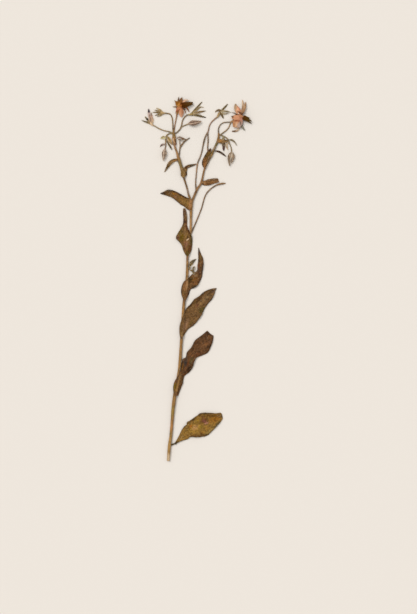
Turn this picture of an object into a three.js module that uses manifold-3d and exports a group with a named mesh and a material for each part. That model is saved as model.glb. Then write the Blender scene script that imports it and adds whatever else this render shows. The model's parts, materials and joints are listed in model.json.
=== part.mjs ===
// A pressed and dried flowering shoot of borage, lying flat on a surface.
// Millimetres: X to the right of the shoot, Y from the cut end to the flowers, Z up.
// The origin is on the flat underside of the main stem, about halfway along it.

import * as THREE from 'three';
import Module from 'manifold-3d';

const wasm = await Module();
wasm.setup();

// Driving dimensions
const stemFlatness = 0.78; // height of a pressed stem or stalk over its width
const leafThickness = 0.65;
const bractThickness = 0.6;
const sepalThickness = 0.6;
const petalThickness = 0.6;
const gap = 0.3; // kept between neighbouring pieces
const drapeReach = 1.8; // how far a leaf takes to come down beside a stem that it lies over
const corollaRise = 1.3; // petals lie this far above the sepals

// ---------------------------------------------------------------- solids

// A closed solid from its corners and triangles, turned so that its faces point out
function closedSolid(corners, triangles) {
  let volume = 0;
  const [a, b, c] = [new THREE.Vector3(), new THREE.Vector3(), new THREE.Vector3()];
  for (const [i, j, k] of triangles) {
    a.set(...corners[i]);
    b.set(...corners[j]);
    c.set(...corners[k]);
    volume += a.dot(b.cross(c));
  }
  const outward = volume > 0 ? triangles : triangles.map(([i, j, k]) => [i, k, j]);
  return new wasm.Manifold(new wasm.Mesh({
    numProp: 3,
    vertProperties: new Float32Array(corners.flat()),
    triVerts: new Uint32Array(outward.flat()),
  }));
}

// A solid skinned over rings of corners, closed by a fan at each end
function loft(rings) {
  const sides = rings[0].length;
  const last = (rings.length - 1) * sides;
  const triangles = [];
  for (let ring = 0; ring < rings.length - 1; ring += 1) {
    for (let side = 0; side < sides; side += 1) {
      const a = ring * sides + side;
      const b = ring * sides + ((side + 1) % sides);
      triangles.push([a, b, b + sides], [a, b + sides, a + sides]);
    }
  }
  for (let side = 1; side < sides - 1; side += 1) {
    triangles.push([0, side + 1, side], [last, last + side, last + side + 1]);
  }
  return closedSolid(rings.flat(), triangles);
}

// A blade of even thickness about rows of points on its middle surface. Both faces are split
// into the same triangles, and the blade is never pressed below the ground.
function slab(rows, thickness) {
  const columns = rows[0].length;
  const points = rows.flat();
  const under = points.length;
  const half = thickness / 2;
  const faceAt = (side) => points.map(({ x, y, z }) => [x, y, Math.max(z, half) + side * half]);
  const triangles = [];
  for (let row = 0; row < rows.length - 1; row += 1) {
    for (let column = 0; column < columns - 1; column += 1) {
      const a = row * columns + column;
      const b = a + 1;
      const c = a + columns;
      const d = c + 1;
      triangles.push([a, c, d], [a, d, b]);
      triangles.push([under + a, under + d, under + c], [under + a, under + b, under + d]);
    }
  }
  const lastRow = (rows.length - 1) * columns;
  const rim = [
    ...rows.map((_, row) => row * columns),
    ...rows[0].map((_, column) => lastRow + column).slice(1),
    ...rows.map((_, row) => lastRow - row * columns + columns - 1).slice(1),
    ...rows[0].map((_, column) => columns - 1 - column).slice(1, -1),
  ];
  rim.forEach((p, index) => {
    const q = rim[(index + 1) % rim.length];
    triangles.push([q, p, under + p], [q, under + p, under + q]);
  });
  return closedSolid([...faceAt(1), ...faceAt(-1)], triangles);
}

const join = (solids) => solids.reduce((whole, solid) => whole.add(solid));

// The one piece that matters, where a cut has left loose scraps
function largest(solid) {
  const pieces = solid.decompose();
  return pieces.reduce((best, piece) => (piece.volume() > best.volume() ? piece : best));
}

// ---------------------------------------------------------------- curves and outlines

function curveThrough(points) {
  return new THREE.CatmullRomCurve3(points.map(([x, y, z = 0]) => new THREE.Vector3(x, y, z)));
}

// Width along a sepal, bract or petal: from its base to its widest place, then to its tip
function outlineWidth(u, base, peak, tip) {
  if (u < peak) return base + (1 - base) * Math.sin((Math.PI / 2) * (u / peak));
  return 1 - (1 - tip) * ((u - peak) / (1 - peak)) ** 1.6;
}

// Level direction to the left of a curve at u
function sideways(curve, u) {
  const { x, y } = curve.getTangent(u);
  return new THREE.Vector3(-y, x, 0).normalize();
}

// ---------------------------------------------------------------- stem and stalks

// Cross-sections as fractions of width and height, with a flat underside
const ridgedSection = [
  [-0.3, 0], [0.3, 0], [0.46, 0.2], [0.5, 0.5], [0.4, 0.82], [0.2, 1], [0.04, 0.9],
  [-0.16, 1], [-0.36, 0.86], [-0.5, 0.52], [-0.46, 0.2],
];
const roundSection = [
  [-0.3, 0], [0.3, 0], [0.5, 0.35], [0.44, 0.8], [0.15, 1], [-0.15, 1], [-0.44, 0.8], [-0.5, 0.35],
];
const stalkSection = [[-0.3, 0], [0.3, 0], [0.5, 0.5], [0.25, 1], [-0.25, 1], [-0.5, 0.5]];

// Each line is a list of [x, y, width]
const stemLines = {
  main: {
    section: ridgedSection,
    spacing: 5,
    line: [
      [-10.7, -109.6, 1.9], [-10.4, -105.5, 2.0], [-9.8, -98.5, 2.1], [-9.0, -93, 1.9],
      [-8.6, -88.6, 1.9],
      [-8.0, -81.5, 2.0], [-7.5, -75, 2.2], [-6.7, -68.2, 2.4], [-5.4, -59, 2.1], [-4.1, -52.5, 1.8],
      [-3.2, -46.5, 1.8], [-2.6, -40.5, 2.0], [-2.2, -34, 1.9], [-1.75, -27.3, 1.9], [-1.4, -20.5, 1.9],
      [-0.9, -13.6, 1.9], [-0.4, -6.8, 1.9], [0.25, 0, 2.0], [1.2, 6.8, 2.1], [1.9, 13, 2.0],
      [2.2, 19, 1.8], [2.3, 25.5, 1.6], [2.4, 30, 1.5], [3.4, 38, 1.5], [4.4, 45, 1.5],
      [4.6, 51, 1.5], [4.7, 58, 1.7], [4.9, 64, 2.0], [5.2, 68.4, 2.4],
    ],
  },
  leftBranch: {
    section: roundSection,
    spacing: 3.8,
    line: [
      [5.0, 66.4, 1.6], [4.0, 69.2, 1.4], [3.0, 72, 1.2], [2.1, 76, 1.1], [0.9, 80, 1.1],
      [-0.1, 83.2, 1.3],
      [-1.0, 86.5, 1.9], [-2.0, 91, 2.0], [-3.4, 95.6, 2.2], [-4.3, 98.6, 1.7], [-5.1, 101.2, 1.3],
      [-6.1, 104, 1.3], [-6.8, 107, 1.5], [-7.0, 110.4, 1.6], [-7.2, 113.6, 1.6], [-7.0, 115.4, 1.2],
    ],
  },
  rightBranch: {
    section: roundSection,
    spacing: 3.8,
    line: [
      [5.2, 66.6, 1.8], [6.6, 70, 1.5], [8.0, 73.2, 1.6], [9.2, 76, 1.6], [11.0, 78.4, 1.4],
      [12.2, 81.6, 1.3],
      [13.0, 85.2, 1.2], [13.9, 88.9, 1.2], [15.3, 92, 1.2], [17.0, 95.4, 1.4], [18.7, 98.8, 1.7],
      [20.0, 101.8, 1.6], [21.4, 104.8, 1.4], [22.8, 107.8, 1.5], [23.6, 111, 1.4], [23.6, 113.4, 1.2],
    ],
  },
  middleBranch: {
    section: stalkSection,
    spacing: 3.4,
    line: [
      [8.4, 74.2, 1.2], [8.0, 77, 1.0], [7.9, 80.5, 0.9], [8.3, 85, 0.9], [8.75, 90, 0.9], [9.5, 94, 0.9],
      [10.9, 97.2, 0.95], [12.0, 100.6, 0.9], [12.8, 104.4, 0.9], [13.6, 108.2, 1.0], [14.6, 111.4, 0.9],
      [15.9, 114, 0.8],
    ],
  },
  uprightStalk: {
    section: stalkSection,
    spacing: 3.4,
    line: [[17.2, 96.4, 0.8], [16.4, 99.4, 0.8], [16.1, 103, 0.8], [16.4, 109, 0.85], [16.2, 114, 0.8]],
  },
  sideStalk: {
    section: stalkSection,
    spacing: 3.4,
    line: [
      [4.9, 45.6, 1.1], [6.3, 48.8, 0.85], [8.3, 53.4, 0.8], [9.7, 56.8, 0.75], [11.0, 60, 0.75],
      [12.2, 63.4, 0.75], [13.2, 67.2, 0.75], [14.3, 70.6, 0.75], [16, 73.5, 0.8], [18.8, 76.2, 0.8],
      [21.6, 78, 0.85], [24.2, 78.95, 1.1], [26.6, 79.4, 1.1], [28.0, 79.5, 0.6],
    ],
  },
  lowestPetiole: {
    section: stalkSection,
    spacing: 2,
    line: [[-10.2, -98.6, 1.2], [-8.6, -98.7, 1.1], [-6.6, -98.0, 1.0]],
  },
  oldFlowerStalk: {
    section: stalkSection,
    spacing: 2.4,
    line: [
      [-3.6, 96.8, 0.9], [-3.1, 99.8, 0.8], [-2.9, 102.6, 0.8], [-2.3, 104.4, 1.0], [-0.6, 106.9, 1.0],
      [1.4, 108.9, 0.95], [3.6, 110.3, 0.6],
    ],
  },
  hairyBudStalk: {
    section: stalkSection,
    spacing: 2.4,
    line: [[-2.9, 103.2, 0.7], [-2.8, 105.6, 0.65], [-3.0, 108.1, 0.65]],
  },
  hangingBudStalkLeft: {
    section: stalkSection,
    spacing: 2.4,
    line: [
      [-7.2, 113.4, 0.8], [-9.8, 113.4, 0.75], [-12, 112, 0.75], [-12.6, 109, 0.7], [-12.4, 105.6, 0.7],
      [-12.9, 103.2, 0.7],
    ],
  },
  calyxAStalk: {
    section: stalkSection,
    spacing: 2.4,
    line: [
      [-7.1, 113.2, 0.8], [-9.8, 114.6, 0.8], [-13.6, 115.4, 0.75], [-17, 116.8, 0.75],
      [-19.6, 118.3, 0.75],
      [-21.4, 119.3, 0.8],
    ],
  },
  calyxBStalk: {
    section: stalkSection,
    spacing: 2.2,
    line: [
      [-7.2, 113.4, 0.9], [-7.6, 117, 0.8], [-7.7, 121, 0.75], [-8.2, 124.4, 0.75], [-9.5, 126.6, 0.75],
      [-11.6, 127.2, 0.8], [-13.4, 127.3, 0.9],
    ],
  },
  flower1Stalk: {
    section: stalkSection,
    spacing: 2.4,
    line: [
      [-7.0, 113.4, 0.9], [-6.5, 117.6, 0.75], [-5.8, 121.2, 0.7], [-5.2, 124.4, 0.75],
      [-4.7, 127.2, 0.9],
    ],
  },
  calyxDStalk: {
    section: stalkSection,
    spacing: 2.2,
    line: [
      [-7.1, 112.8, 0.9], [-4.6, 114.4, 0.8], [-2.6, 116.6, 0.8], [-1.7, 119, 0.75], [-1.1, 122, 0.75],
      [0.2, 124.4, 0.75], [2.0, 125.9, 0.8], [3.7, 126.3, 0.9],
    ],
  },
  budEStalk: {
    section: stalkSection,
    spacing: 2.2,
    line: [[-2.2, 117.3, 0.7], [-0.8, 118.4, 0.7], [1.0, 119.2, 0.7], [2.7, 119.8, 0.8]],
  },
  calyxFStalk: {
    section: stalkSection,
    spacing: 2.4,
    line: [
      [15.9, 113.4, 0.85], [16.7, 116, 0.75], [17.3, 118.6, 0.7], [18.6, 121, 0.7], [20.8, 123.2, 0.75],
      [22.8, 124.8, 0.9],
    ],
  },
  flower2StalkLeft: {
    section: stalkSection,
    spacing: 2.4,
    line: [
      [23.6, 112.6, 0.9], [23.5, 116.6, 0.75], [24.6, 119.2, 0.7], [26.8, 120.8, 0.7],
      [29.4, 121.1, 0.75],
      [32.1, 121.3, 0.8],
    ],
  },
  flower2StalkRight: {
    section: stalkSection,
    spacing: 2.4,
    line: [
      [23.5, 111.6, 0.9], [26.2, 113.6, 0.75], [28.6, 115.4, 0.75], [30.3, 117.3, 0.7],
      [31.3, 119.6, 0.7],
      [32.1, 121.4, 0.8],
    ],
  },
  hangingBudStalkRight: {
    section: stalkSection,
    spacing: 2.4,
    line: [
      [23.6, 112.4, 0.8], [27, 111.6, 0.75], [29.8, 109.6, 0.75], [31.2, 106.2, 0.7], [32.2, 103.2, 0.7],
      [32.4, 101.4, 0.75],
    ],
  },
};

// One stem or stalk. A margin makes the larger form that its neighbours are cut back from.
function stalk({ line, section, spacing }, margin = 0) {
  const centres = curveThrough(line.map(([x, y]) => [x, y]));
  const widths = curveThrough(line.map(([, , width]) => [width, 0]));
  const steps = Math.ceil(centres.getLength() / spacing);
  const rings = [];
  for (let step = 0; step <= steps; step += 1) {
    const u = centres.getUtoTmapping(step / steps);
    const centre = centres.getPoint(u);
    const width = widths.getPoint(u).x + 2 * margin;
    const height = stemFlatness * (width - 2 * margin) + 2 * margin;
    const left = sideways(centres, u);
    rings.push(section.map(([across, up]) => [
      centre.x + left.x * across * width,
      centre.y + left.y * across * width,
      up * height - margin,
    ]));
  }
  return loft(rings);
}

const stem = join(Object.values(stemLines).map((line) => stalk(line)));
const stemClearance = join(Object.values(stemLines).map((line) => stalk(line, gap)));

// Points along every stalk, with the width there, for what is draped over it
const stalkSamples = Object.values(stemLines).flatMap(({ line }) => {
  const centres = curveThrough(line);
  return centres.getPoints(Math.ceil(centres.getLength() / 0.6));
});

// How high a blade has to lie at (x, y) to pass over the stalks
function drapeHeight(x, y, thickness) {
  let height = 0;
  for (const { x: stalkX, y: stalkY, z: width } of stalkSamples) {
    const away = Math.hypot(x - stalkX, y - stalkY);
    const reach = width / 2 + drapeReach;
    if (away < reach) {
      const fall = THREE.MathUtils.smoothstep(away, 0.4 * width, reach);
      height = Math.max(height, (stemFlatness * width + gap + thickness / 2 + 0.1) * (1 - fall));
    }
  }
  return height;
}

// What is left of a blade once it clears the stalks
const clearOfStem = (solid) => largest(solid.subtract(stemClearance));

// ---------------------------------------------------------------- leaves

// Each leaf has matching points down its left edge, its rib and its right edge, from base to tip,
// with an optional height. The margin waves, and the blade is puckered between its side veins.
const wideColumns = [-1, -0.66, -0.33, 0, 0.33, 0.66, 1];
const narrowColumns = [-1, -0.5, 0, 0.5, 1];
const marginWaves = 2.5; // along one edge
const pucker = 0.25;

function leafBlade({ left, rib, right, columns = wideColumns, steps, wave, veins = 6, phase = 0 }) {
  const [leftEdge, midrib, rightEdge] = [left, rib, right].map(curveThrough);
  const rows = [];
  for (let step = 0; step <= steps; step += 1) {
    const u = step / steps;
    const ribPoint = midrib.getPoint(u);
    const ends = Math.sin(Math.PI * u) ** 0.6;
    rows.push(columns.map((across) => {
      const out = Math.abs(across);
      const edge = across < 0 ? leftEdge : rightEdge;
      const point = ribPoint.clone().lerp(edge.getPoint(u), out);
      const turn = 2 * Math.PI * marginWaves * u + phase + (across < 0 ? 2.1 : 0);
      const puckerTurn = 2 * Math.PI * (veins * u - 0.8 * out);
      point.z += leafThickness / 2;
      point.z += ends * wave * out ** 2 * (0.5 + 0.5 * Math.sin(turn));
      point.z += ends * pucker * (0.5 - 0.5 * Math.cos(puckerTurn)) * (1 - out ** 4) * Math.min(1, 3 * out);
      point.z = Math.max(point.z, drapeHeight(point.x, point.y, leafThickness));
      return point;
    }));
  }
  return clearOfStem(slab(rows, leafThickness));
}

const leaves = {
  leaf_1: {
    colour: 0x825f2d,
    steps: 21,
    wave: 0.9,
    left: [
      [-6.3, -97.3], [-5.2, -95.7], [-3.4, -92.4], [-1.4, -88.3], [0.6, -85.7], [1.9, -84.8],
      [1.7, -83.8],
      [4.0, -82.2], [8.0, -79.4], [11.4, -77.1], [16.0, -76.8], [21.6, -77.2], [25.3, -77.1],
      [26.4, -79.9],
    ],
    rib: [
      [-6.0, -98.0, 0.3], [-4.9, -96.8], [-2.8, -94.2], [-0.6, -91.9], [1.6, -90.1], [3.6, -88.9],
      [5.0, -87.9],
      [7.0, -86.8], [10.0, -85.6], [13.0, -84.4], [16.8, -83.1], [20.6, -81.9], [24.4, -80.7],
      [26.4, -80.4],
    ],
    right: [
      [-5.7, -98.7], [-4.6, -97.6], [-2.4, -96.4], [0.6, -95.4], [2.4, -94.9], [4.2, -93.5], [6.4, -93.4],
      [9.2, -93.5], [12.4, -93.2], [15.6, -92.6], [18.4, -90.2], [21.4, -87.1], [24.8, -83.3],
      [26.4, -81.0],
    ],
  },
  leaf_2: {
    colour: 0x5a3722,
    steps: 20,
    wave: 0.7,
    left: [
      [-6.4, -65.6], [-7.4, -61], [-6.7, -56.2], [-4.6, -52.4], [-2.7, -48.5], [-1.8, -44.2],
      [-0.9, -40.3],
      [1.2, -38.9], [1.9, -35.8], [4.7, -32.6], [7.6, -27.4], [11.2, -24.7], [15.9, -20.9],
    ],
    rib: [
      [-5.2, -65.4], [-4.9, -61], [-4.0, -56.4], [-2.3, -52], [0.2, -49], [1.9, -45.3, 0.5],
      [3.6, -41.6, 0.7],
      [4.9, -38.9, 0.6], [6.9, -36], [9.4, -32.6], [12.3, -29.4], [15.2, -26.4], [17.8, -22.9],
    ],
    right: [
      [-3.9, -65.2], [-2.4, -61], [-0.8, -56.8], [0.3, -52], [3.6, -49.3], [5.8, -46.2], [7.3, -41.6],
      [8.4, -39.6], [12.4, -37.8], [16.2, -35.9], [18.2, -32.2], [19.7, -27.8], [20.2, -24.4],
    ],
  },
  leaf_3: {
    colour: 0x5f4a2c,
    steps: 20,
    wave: 0.6,
    phase: 1.2,
    left: [
      [-2.5, -26.4], [-3.1, -22.6], [-3.1, -18.4], [-2.1, -14.6], [-0.4, -10.4], [1.6, -5.8], [4.4, -2.8],
      [7.0, 0.5], [10.2, 2.6], [13.8, 5.7], [18.4, 7.6], [22.0, 8.15],
    ],
    rib: [
      [-1.7, -26.4], [-1.4, -22.8], [-0.6, -19.4], [1.6, -16.2], [4.6, -12.8], [7.0, -8.6, 0.3],
      [9.2, -4.6, 0.4],
      [11.8, -1.2, 0.4], [14.6, 1.4, 0.3], [17.2, 4.0], [19.8, 6.3], [22.1, 7.9],
    ],
    right: [
      [-1.0, -26.2], [0.8, -22.8], [2.9, -20.0], [6.2, -17.6], [9.6, -13.8], [12.2, -10.2], [13.8, -6.6],
      [16.2, -2.8], [18.9, 0.2], [20.5, 3.4], [21.3, 5.9], [22.15, 7.55],
    ],
  },
  leaf_4: {
    colour: 0x55392a,
    steps: 20,
    wave: 0.6,
    phase: 2.4,
    left: [
      [-0.6, 0.4], [-1.9, 4.2], [-1.8, 8.2], [-0.3, 12.2], [3.4, 15.2], [5.0, 17.2], [7.3, 18.7],
      [8.8, 20.0],
      [9.2, 23.6], [9.7, 28.0], [9.65, 31.8], [9.75, 35.5],
    ],
    rib: [
      [0.5, 0.2], [0.7, 3.9], [1.6, 7.8], [3.2, 10.4], [5.6, 12.5], [7.6, 14.9], [9.2, 17.1, 0.3],
      [10.3, 20.0, 0.4],
      [11.2, 23.9, 0.4], [11.3, 28.2, 0.2], [10.5, 31.9], [9.95, 35.6],
    ],
    right: [
      [1.6, 0.2], [3.3, 3.6], [4.6, 7.2], [6.8, 8.1], [8.9, 9.5], [10.6, 12.0], [12.1, 15.2],
      [12.7, 19.4],
      [13.3, 23.9], [12.9, 28.5], [11.4, 31.9], [10.15, 35.4],
    ],
  },
  leaf_5: {
    colour: 0x5c4424,
    steps: 20,
    wave: 0.7,
    phase: 0.6,
    left: [
      [1.5, 30.0], [-0.3, 33.2], [-1.7, 37.4], [-3.6, 39.9], [-5.5, 42.0], [-4.3, 45.4], [-2.5, 48.3],
      [-0.9, 51.3], [-0.5, 54.8], [-0.7, 59.0], [-0.6, 62.3],
    ],
    rib: [
      [2.3, 29.9], [2.2, 33.0], [2.1, 37.2], [1.6, 40.2, 0.4], [1.2, 43.0, 0.6], [0.8, 45.6, 0.4],
      [0.6, 48.6],
      [0.6, 51.5], [0.7, 55.0], [0.5, 59.2], [0.3, 62.6],
    ],
    right: [
      [3.2, 30.1], [4.9, 33.2], [5.6, 37.2], [5.75, 40.4], [5.4, 43.2], [4.4, 45.3], [2.9, 48.5],
      [2.1, 51.3], [2.1, 55.0], [1.8, 59.0], [1.1, 62.1],
    ],
  },
  leaf_6: {
    colour: 0x6e4f2a,
    steps: 16,
    wave: 0.5,
    phase: 3.0,
    left: [
      [5.0, 61.0], [2.4, 61.6], [0.2, 63.6], [-2.4, 65.1], [-5.6, 67.8], [-8.4, 69.8], [-11.6, 71.0],
      [-13.9, 71.7], [-16.0, 72.4],
    ],
    rib: [
      [5.3, 64.6], [3.1, 65.6], [0.6, 66.8], [-2.0, 68.4, 0.2], [-5.0, 70.6, 0.3], [-8.0, 72.2, 0.3],
      [-11.2, 73.0], [-13.9, 72.8], [-16.2, 72.6],
    ],
    right: [
      [5.3, 68.6], [3.2, 69.4], [0.9, 70.4], [-1.6, 71.8], [-4.6, 73.5], [-7.9, 74.8], [-11.2, 75.1],
      [-13.8, 73.8], [-16.0, 72.8],
    ],
  },
  leaf_7: {
    colour: 0x5e4025,
    columns: narrowColumns,
    steps: 12,
    wave: 0.4,
    veins: 4,
    left: [[12.0, 81.0], [14.2, 81.4], [16.8, 82.3], [19.6, 82.8], [21.8, 82.9], [23.2, 82.8]],
    rib: [[11.9, 79.8], [14.2, 79.8], [16.8, 80.2, 0.2], [19.6, 80.9, 0.2], [21.9, 81.3], [23.6, 81.4]],
    right: [[12.1, 78.6], [14.3, 78.0], [17.0, 78.1], [19.8, 79.1], [22.0, 79.7], [23.9, 80.4]],
  },
  leaf_8: {
    colour: 0x6b4726,
    columns: narrowColumns,
    steps: 14,
    wave: 0.3,
    veins: 4,
    left: [
      [13.7, 89.6], [12.4, 91.8], [12.3, 94.2], [13.3, 96.9], [14.6, 99.3], [16.2, 101.6],
      [17.9, 103.4],
    ],
    rib: [
      [14.2, 89.5], [14.1, 91.7], [14.4, 94.2], [15.4, 96.9], [16.3, 99.3], [17.3, 101.4],
      [18.1, 103.5],
    ],
    right: [
      [14.7, 89.8], [15.6, 91.9], [16.5, 94.3], [17.3, 96.8], [18.0, 99.2], [18.5, 101.4],
      [18.4, 103.3],
    ],
  },
  leaf_9: {
    colour: 0x5d4a2a,
    columns: narrowColumns,
    steps: 14,
    wave: 0.2,
    veins: 4,
    left: [[-2.3, 84.6], [-2.1, 87.2], [-1.2, 89.2], [0.4, 90.7], [2.3, 92.0], [4.9, 92.3], [7.9, 92.8]],
    rib: [[-1.2, 83.6], [-0.2, 85.7], [0.4, 88.1], [1.4, 89.9], [3.0, 91.1], [5.4, 91.7], [8.0, 92.6]],
    right: [[0.2, 83.3], [1.9, 85.0], [2.05, 87.4], [2.5, 89.7], [3.9, 90.3], [5.9, 91.1], [7.9, 92.3]],
  },
  leaf_10: {
    colour: 0x5f4726,
    columns: narrowColumns,
    steps: 12,
    wave: 0.4,
    veins: 4,
    left: [[-4.6, 94.9], [-6.7, 94.0], [-8.3, 92.8], [-9.6, 91.3], [-10.9, 89.7], [-13.0, 87.2]],
    rib: [[-4.5, 95.6], [-6.9, 95.1], [-8.8, 94.0], [-10.4, 92.3], [-11.6, 90.1], [-13.3, 87.2]],
    right: [[-4.7, 96.3], [-7.0, 96.2], [-9.2, 95.2], [-11.1, 93.2], [-12.2, 90.5], [-13.5, 87.4]],
  },
};

// ---------------------------------------------------------------- bracts, sepals and petals

// A pointed blade along a line of [x, y, height], creased along its middle
function lance({
  line, width, thickness = sepalThickness, rise = 0, base = 0.4, peak = 0.35, tip = 0.1,
  steps = 5, columns = 3, cup = 0.15,
}) {
  const middle = curveThrough(line);
  const rows = [];
  for (let step = 0; step <= steps; step += 1) {
    const u = step / steps;
    const point = middle.getPoint(u);
    const left = sideways(middle, u);
    const halfWidth = (width / 2) * outlineWidth(u, base, peak, tip);
    const row = [];
    for (let column = 0; column < columns; column += 1) {
      const across = (2 * column) / (columns - 1) - 1;
      const x = point.x + left.x * halfWidth * across;
      const y = point.y + left.y * halfWidth * across;
      const lift = point.z + rise + thickness / 2 + cup * (1 - across ** 2) * (1 - u);
      row.push(new THREE.Vector3(x, y, Math.max(lift, drapeHeight(x, y, thickness))));
    }
    rows.push(row);
  }
  return slab(rows, thickness);
}

const bractOf = (bract) => clearOfStem(lance({ thickness: bractThickness, ...bract }));

const bracts = {
  left_bract_broad: {
    colour: 0x6f4a26, width: 2.6, base: 0.6, columns: 5,
    line: [[-6.8, 112.6], [-6.8, 110.2], [-6.3, 107.8], [-5.2, 105.5]],
  },
  left_bract_tan: {
    colour: 0x8f7047, width: 2.4, peak: 0.55, tip: 0.3,
    line: [[-8.3, 106.3], [-9.3, 108.0], [-10.5, 109.9], [-11.6, 111.5]],
  },
  left_bract_narrow: {
    colour: 0x4a3d24, width: 1.2, peak: 0.6, tip: 0.4,
    line: [[-12.3, 109.6], [-11.4, 107.9], [-10.3, 106.0], [-9.1, 104.0], [-8.2, 102.4]],
  },
  left_bract_arched: {
    colour: 0x9a8a5a, width: 2.0, peak: 0.5,
    line: [[-12.9, 110.2], [-13.7, 110.7], [-14.8, 110.6], [-16.0, 109.9]],
  },
  left_bract_withered: {
    colour: 0x4a3832, width: 1.3, peak: 0.5,
    line: [[-12.9, 106.1], [-14.1, 106.0], [-15.4, 105.5], [-16.3, 104.4]],
  },
  right_bract_broad: {
    colour: 0x7a5228, width: 3.1, peak: 0.45, rise: bractThickness + gap + 0.1,
    line: [[22.9, 109.2], [24.6, 108.2], [26.6, 107.9], [29.4, 108.5]],
  },
  right_bract_dark: {
    colour: 0x4c3326, width: 1.9, peak: 0.6,
    line: [[26.7, 111.2], [26.8, 108.6], [27.0, 105.2], [27.1, 101.5]],
  },
  right_bract_light: {
    colour: 0x9a8266, width: 1.5, peak: 0.5,
    line: [[30.1, 107.5], [29.1, 106.1], [29.2, 104.3], [30.1, 102.3]],
  },
  right_bract_narrow: {
    colour: 0x4d3b24, width: 1.25, peak: 0.6, tip: 0.45,
    line: [[20.9, 101.5], [23.2, 101.3], [25.8, 100.0], [28.6, 97.9]],
  },
  right_bract_curled: {
    colour: 0x55432f, width: 1.1,
    line: [[30.7, 109.1], [32.6, 109.0], [34.4, 107.7], [36.1, 105.2]],
  },
};

// ---------------------------------------------------------------- buds

// A closed bud along a line: five ridges, widest below the middle, drawn out to a point
function bud({
  line, radius, flatness = 0.75, sides = 10, steps = 7, ridge = 0.1, widest = 0.42, foot = 0.25,
}) {
  const axis = curveThrough(line);
  const rings = [];
  for (let step = 0; step <= steps; step += 1) {
    const u = step / steps;
    const { x, y, z } = axis.getPoint(u);
    const left = sideways(axis, u);
    const swell = u < widest
      ? foot + (1 - foot) * Math.sin((Math.PI / 2) * (u / widest)) ** 1.3
      : 1 - 0.88 * ((u - widest) / (1 - widest)) ** 1.5;
    const ring = [];
    for (let side = 0; side < sides; side += 1) {
      const angle = (2 * Math.PI * side) / sides;
      const reach = radius * swell * (1 + ridge * Math.cos(5 * angle));
      const across = reach * Math.cos(angle);
      const up = z + flatness * (radius * (1 + ridge) + reach * Math.sin(angle));
      ring.push([x + left.x * across, y + left.y * across, up]);
    }
    rings.push(ring);
  }
  return loft(rings);
}

const buds = {
  left_bud_hanging: {
    colour: 0x7b6655, radius: 1.55,
    line: [[-13.1, 102.8], [-13.4, 100.4], [-13.7, 97.8], [-14.0, 94.8]],
  },
  left_bud_hairy: {
    colour: 0x75655c, radius: 1.3, widest: 0.35,
    line: [[-4.7, 110.4], [-3.1, 110.1], [-1.2, 109.8], [1.2, 109.4]],
  },
  left_bud_closed: {
    colour: 0x796459, radius: 1.8,
    line: [[3.1, 120.0], [5.6, 120.4], [8.6, 120.8], [12.0, 121.6]],
  },
};

// The right hanging bud has parted into two lobes at its tip
const hangingBudRight = join([
  bud({ radius: 1.3, line: [[32.3, 101.0], [31.3, 98.4], [30.8, 95.4], [31.1, 91.2]] }),
  bud({ radius: 1.0, line: [[32.6, 101.0], [33.5, 98.4], [33.2, 95.8], [32.2, 93.0]] }),
]);

// ---------------------------------------------------------------- open calyces

// Sepals fanned from a small cup that carries on from the end of the stalk
const cupRadius = 0.8;
const sepalFoot = 0.6; // width at its foot over its greatest width

function calyx({ cup, sepals }) {
  const base = bud({ line: cup, radius: cupRadius, sides: 8, steps: 4, ridge: 0, widest: 0.8, foot: 0.45 });
  return clearOfStem(join([base, ...sepals.map((sepal) => lance({ base: sepalFoot, ...sepal }))]));
}

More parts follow.
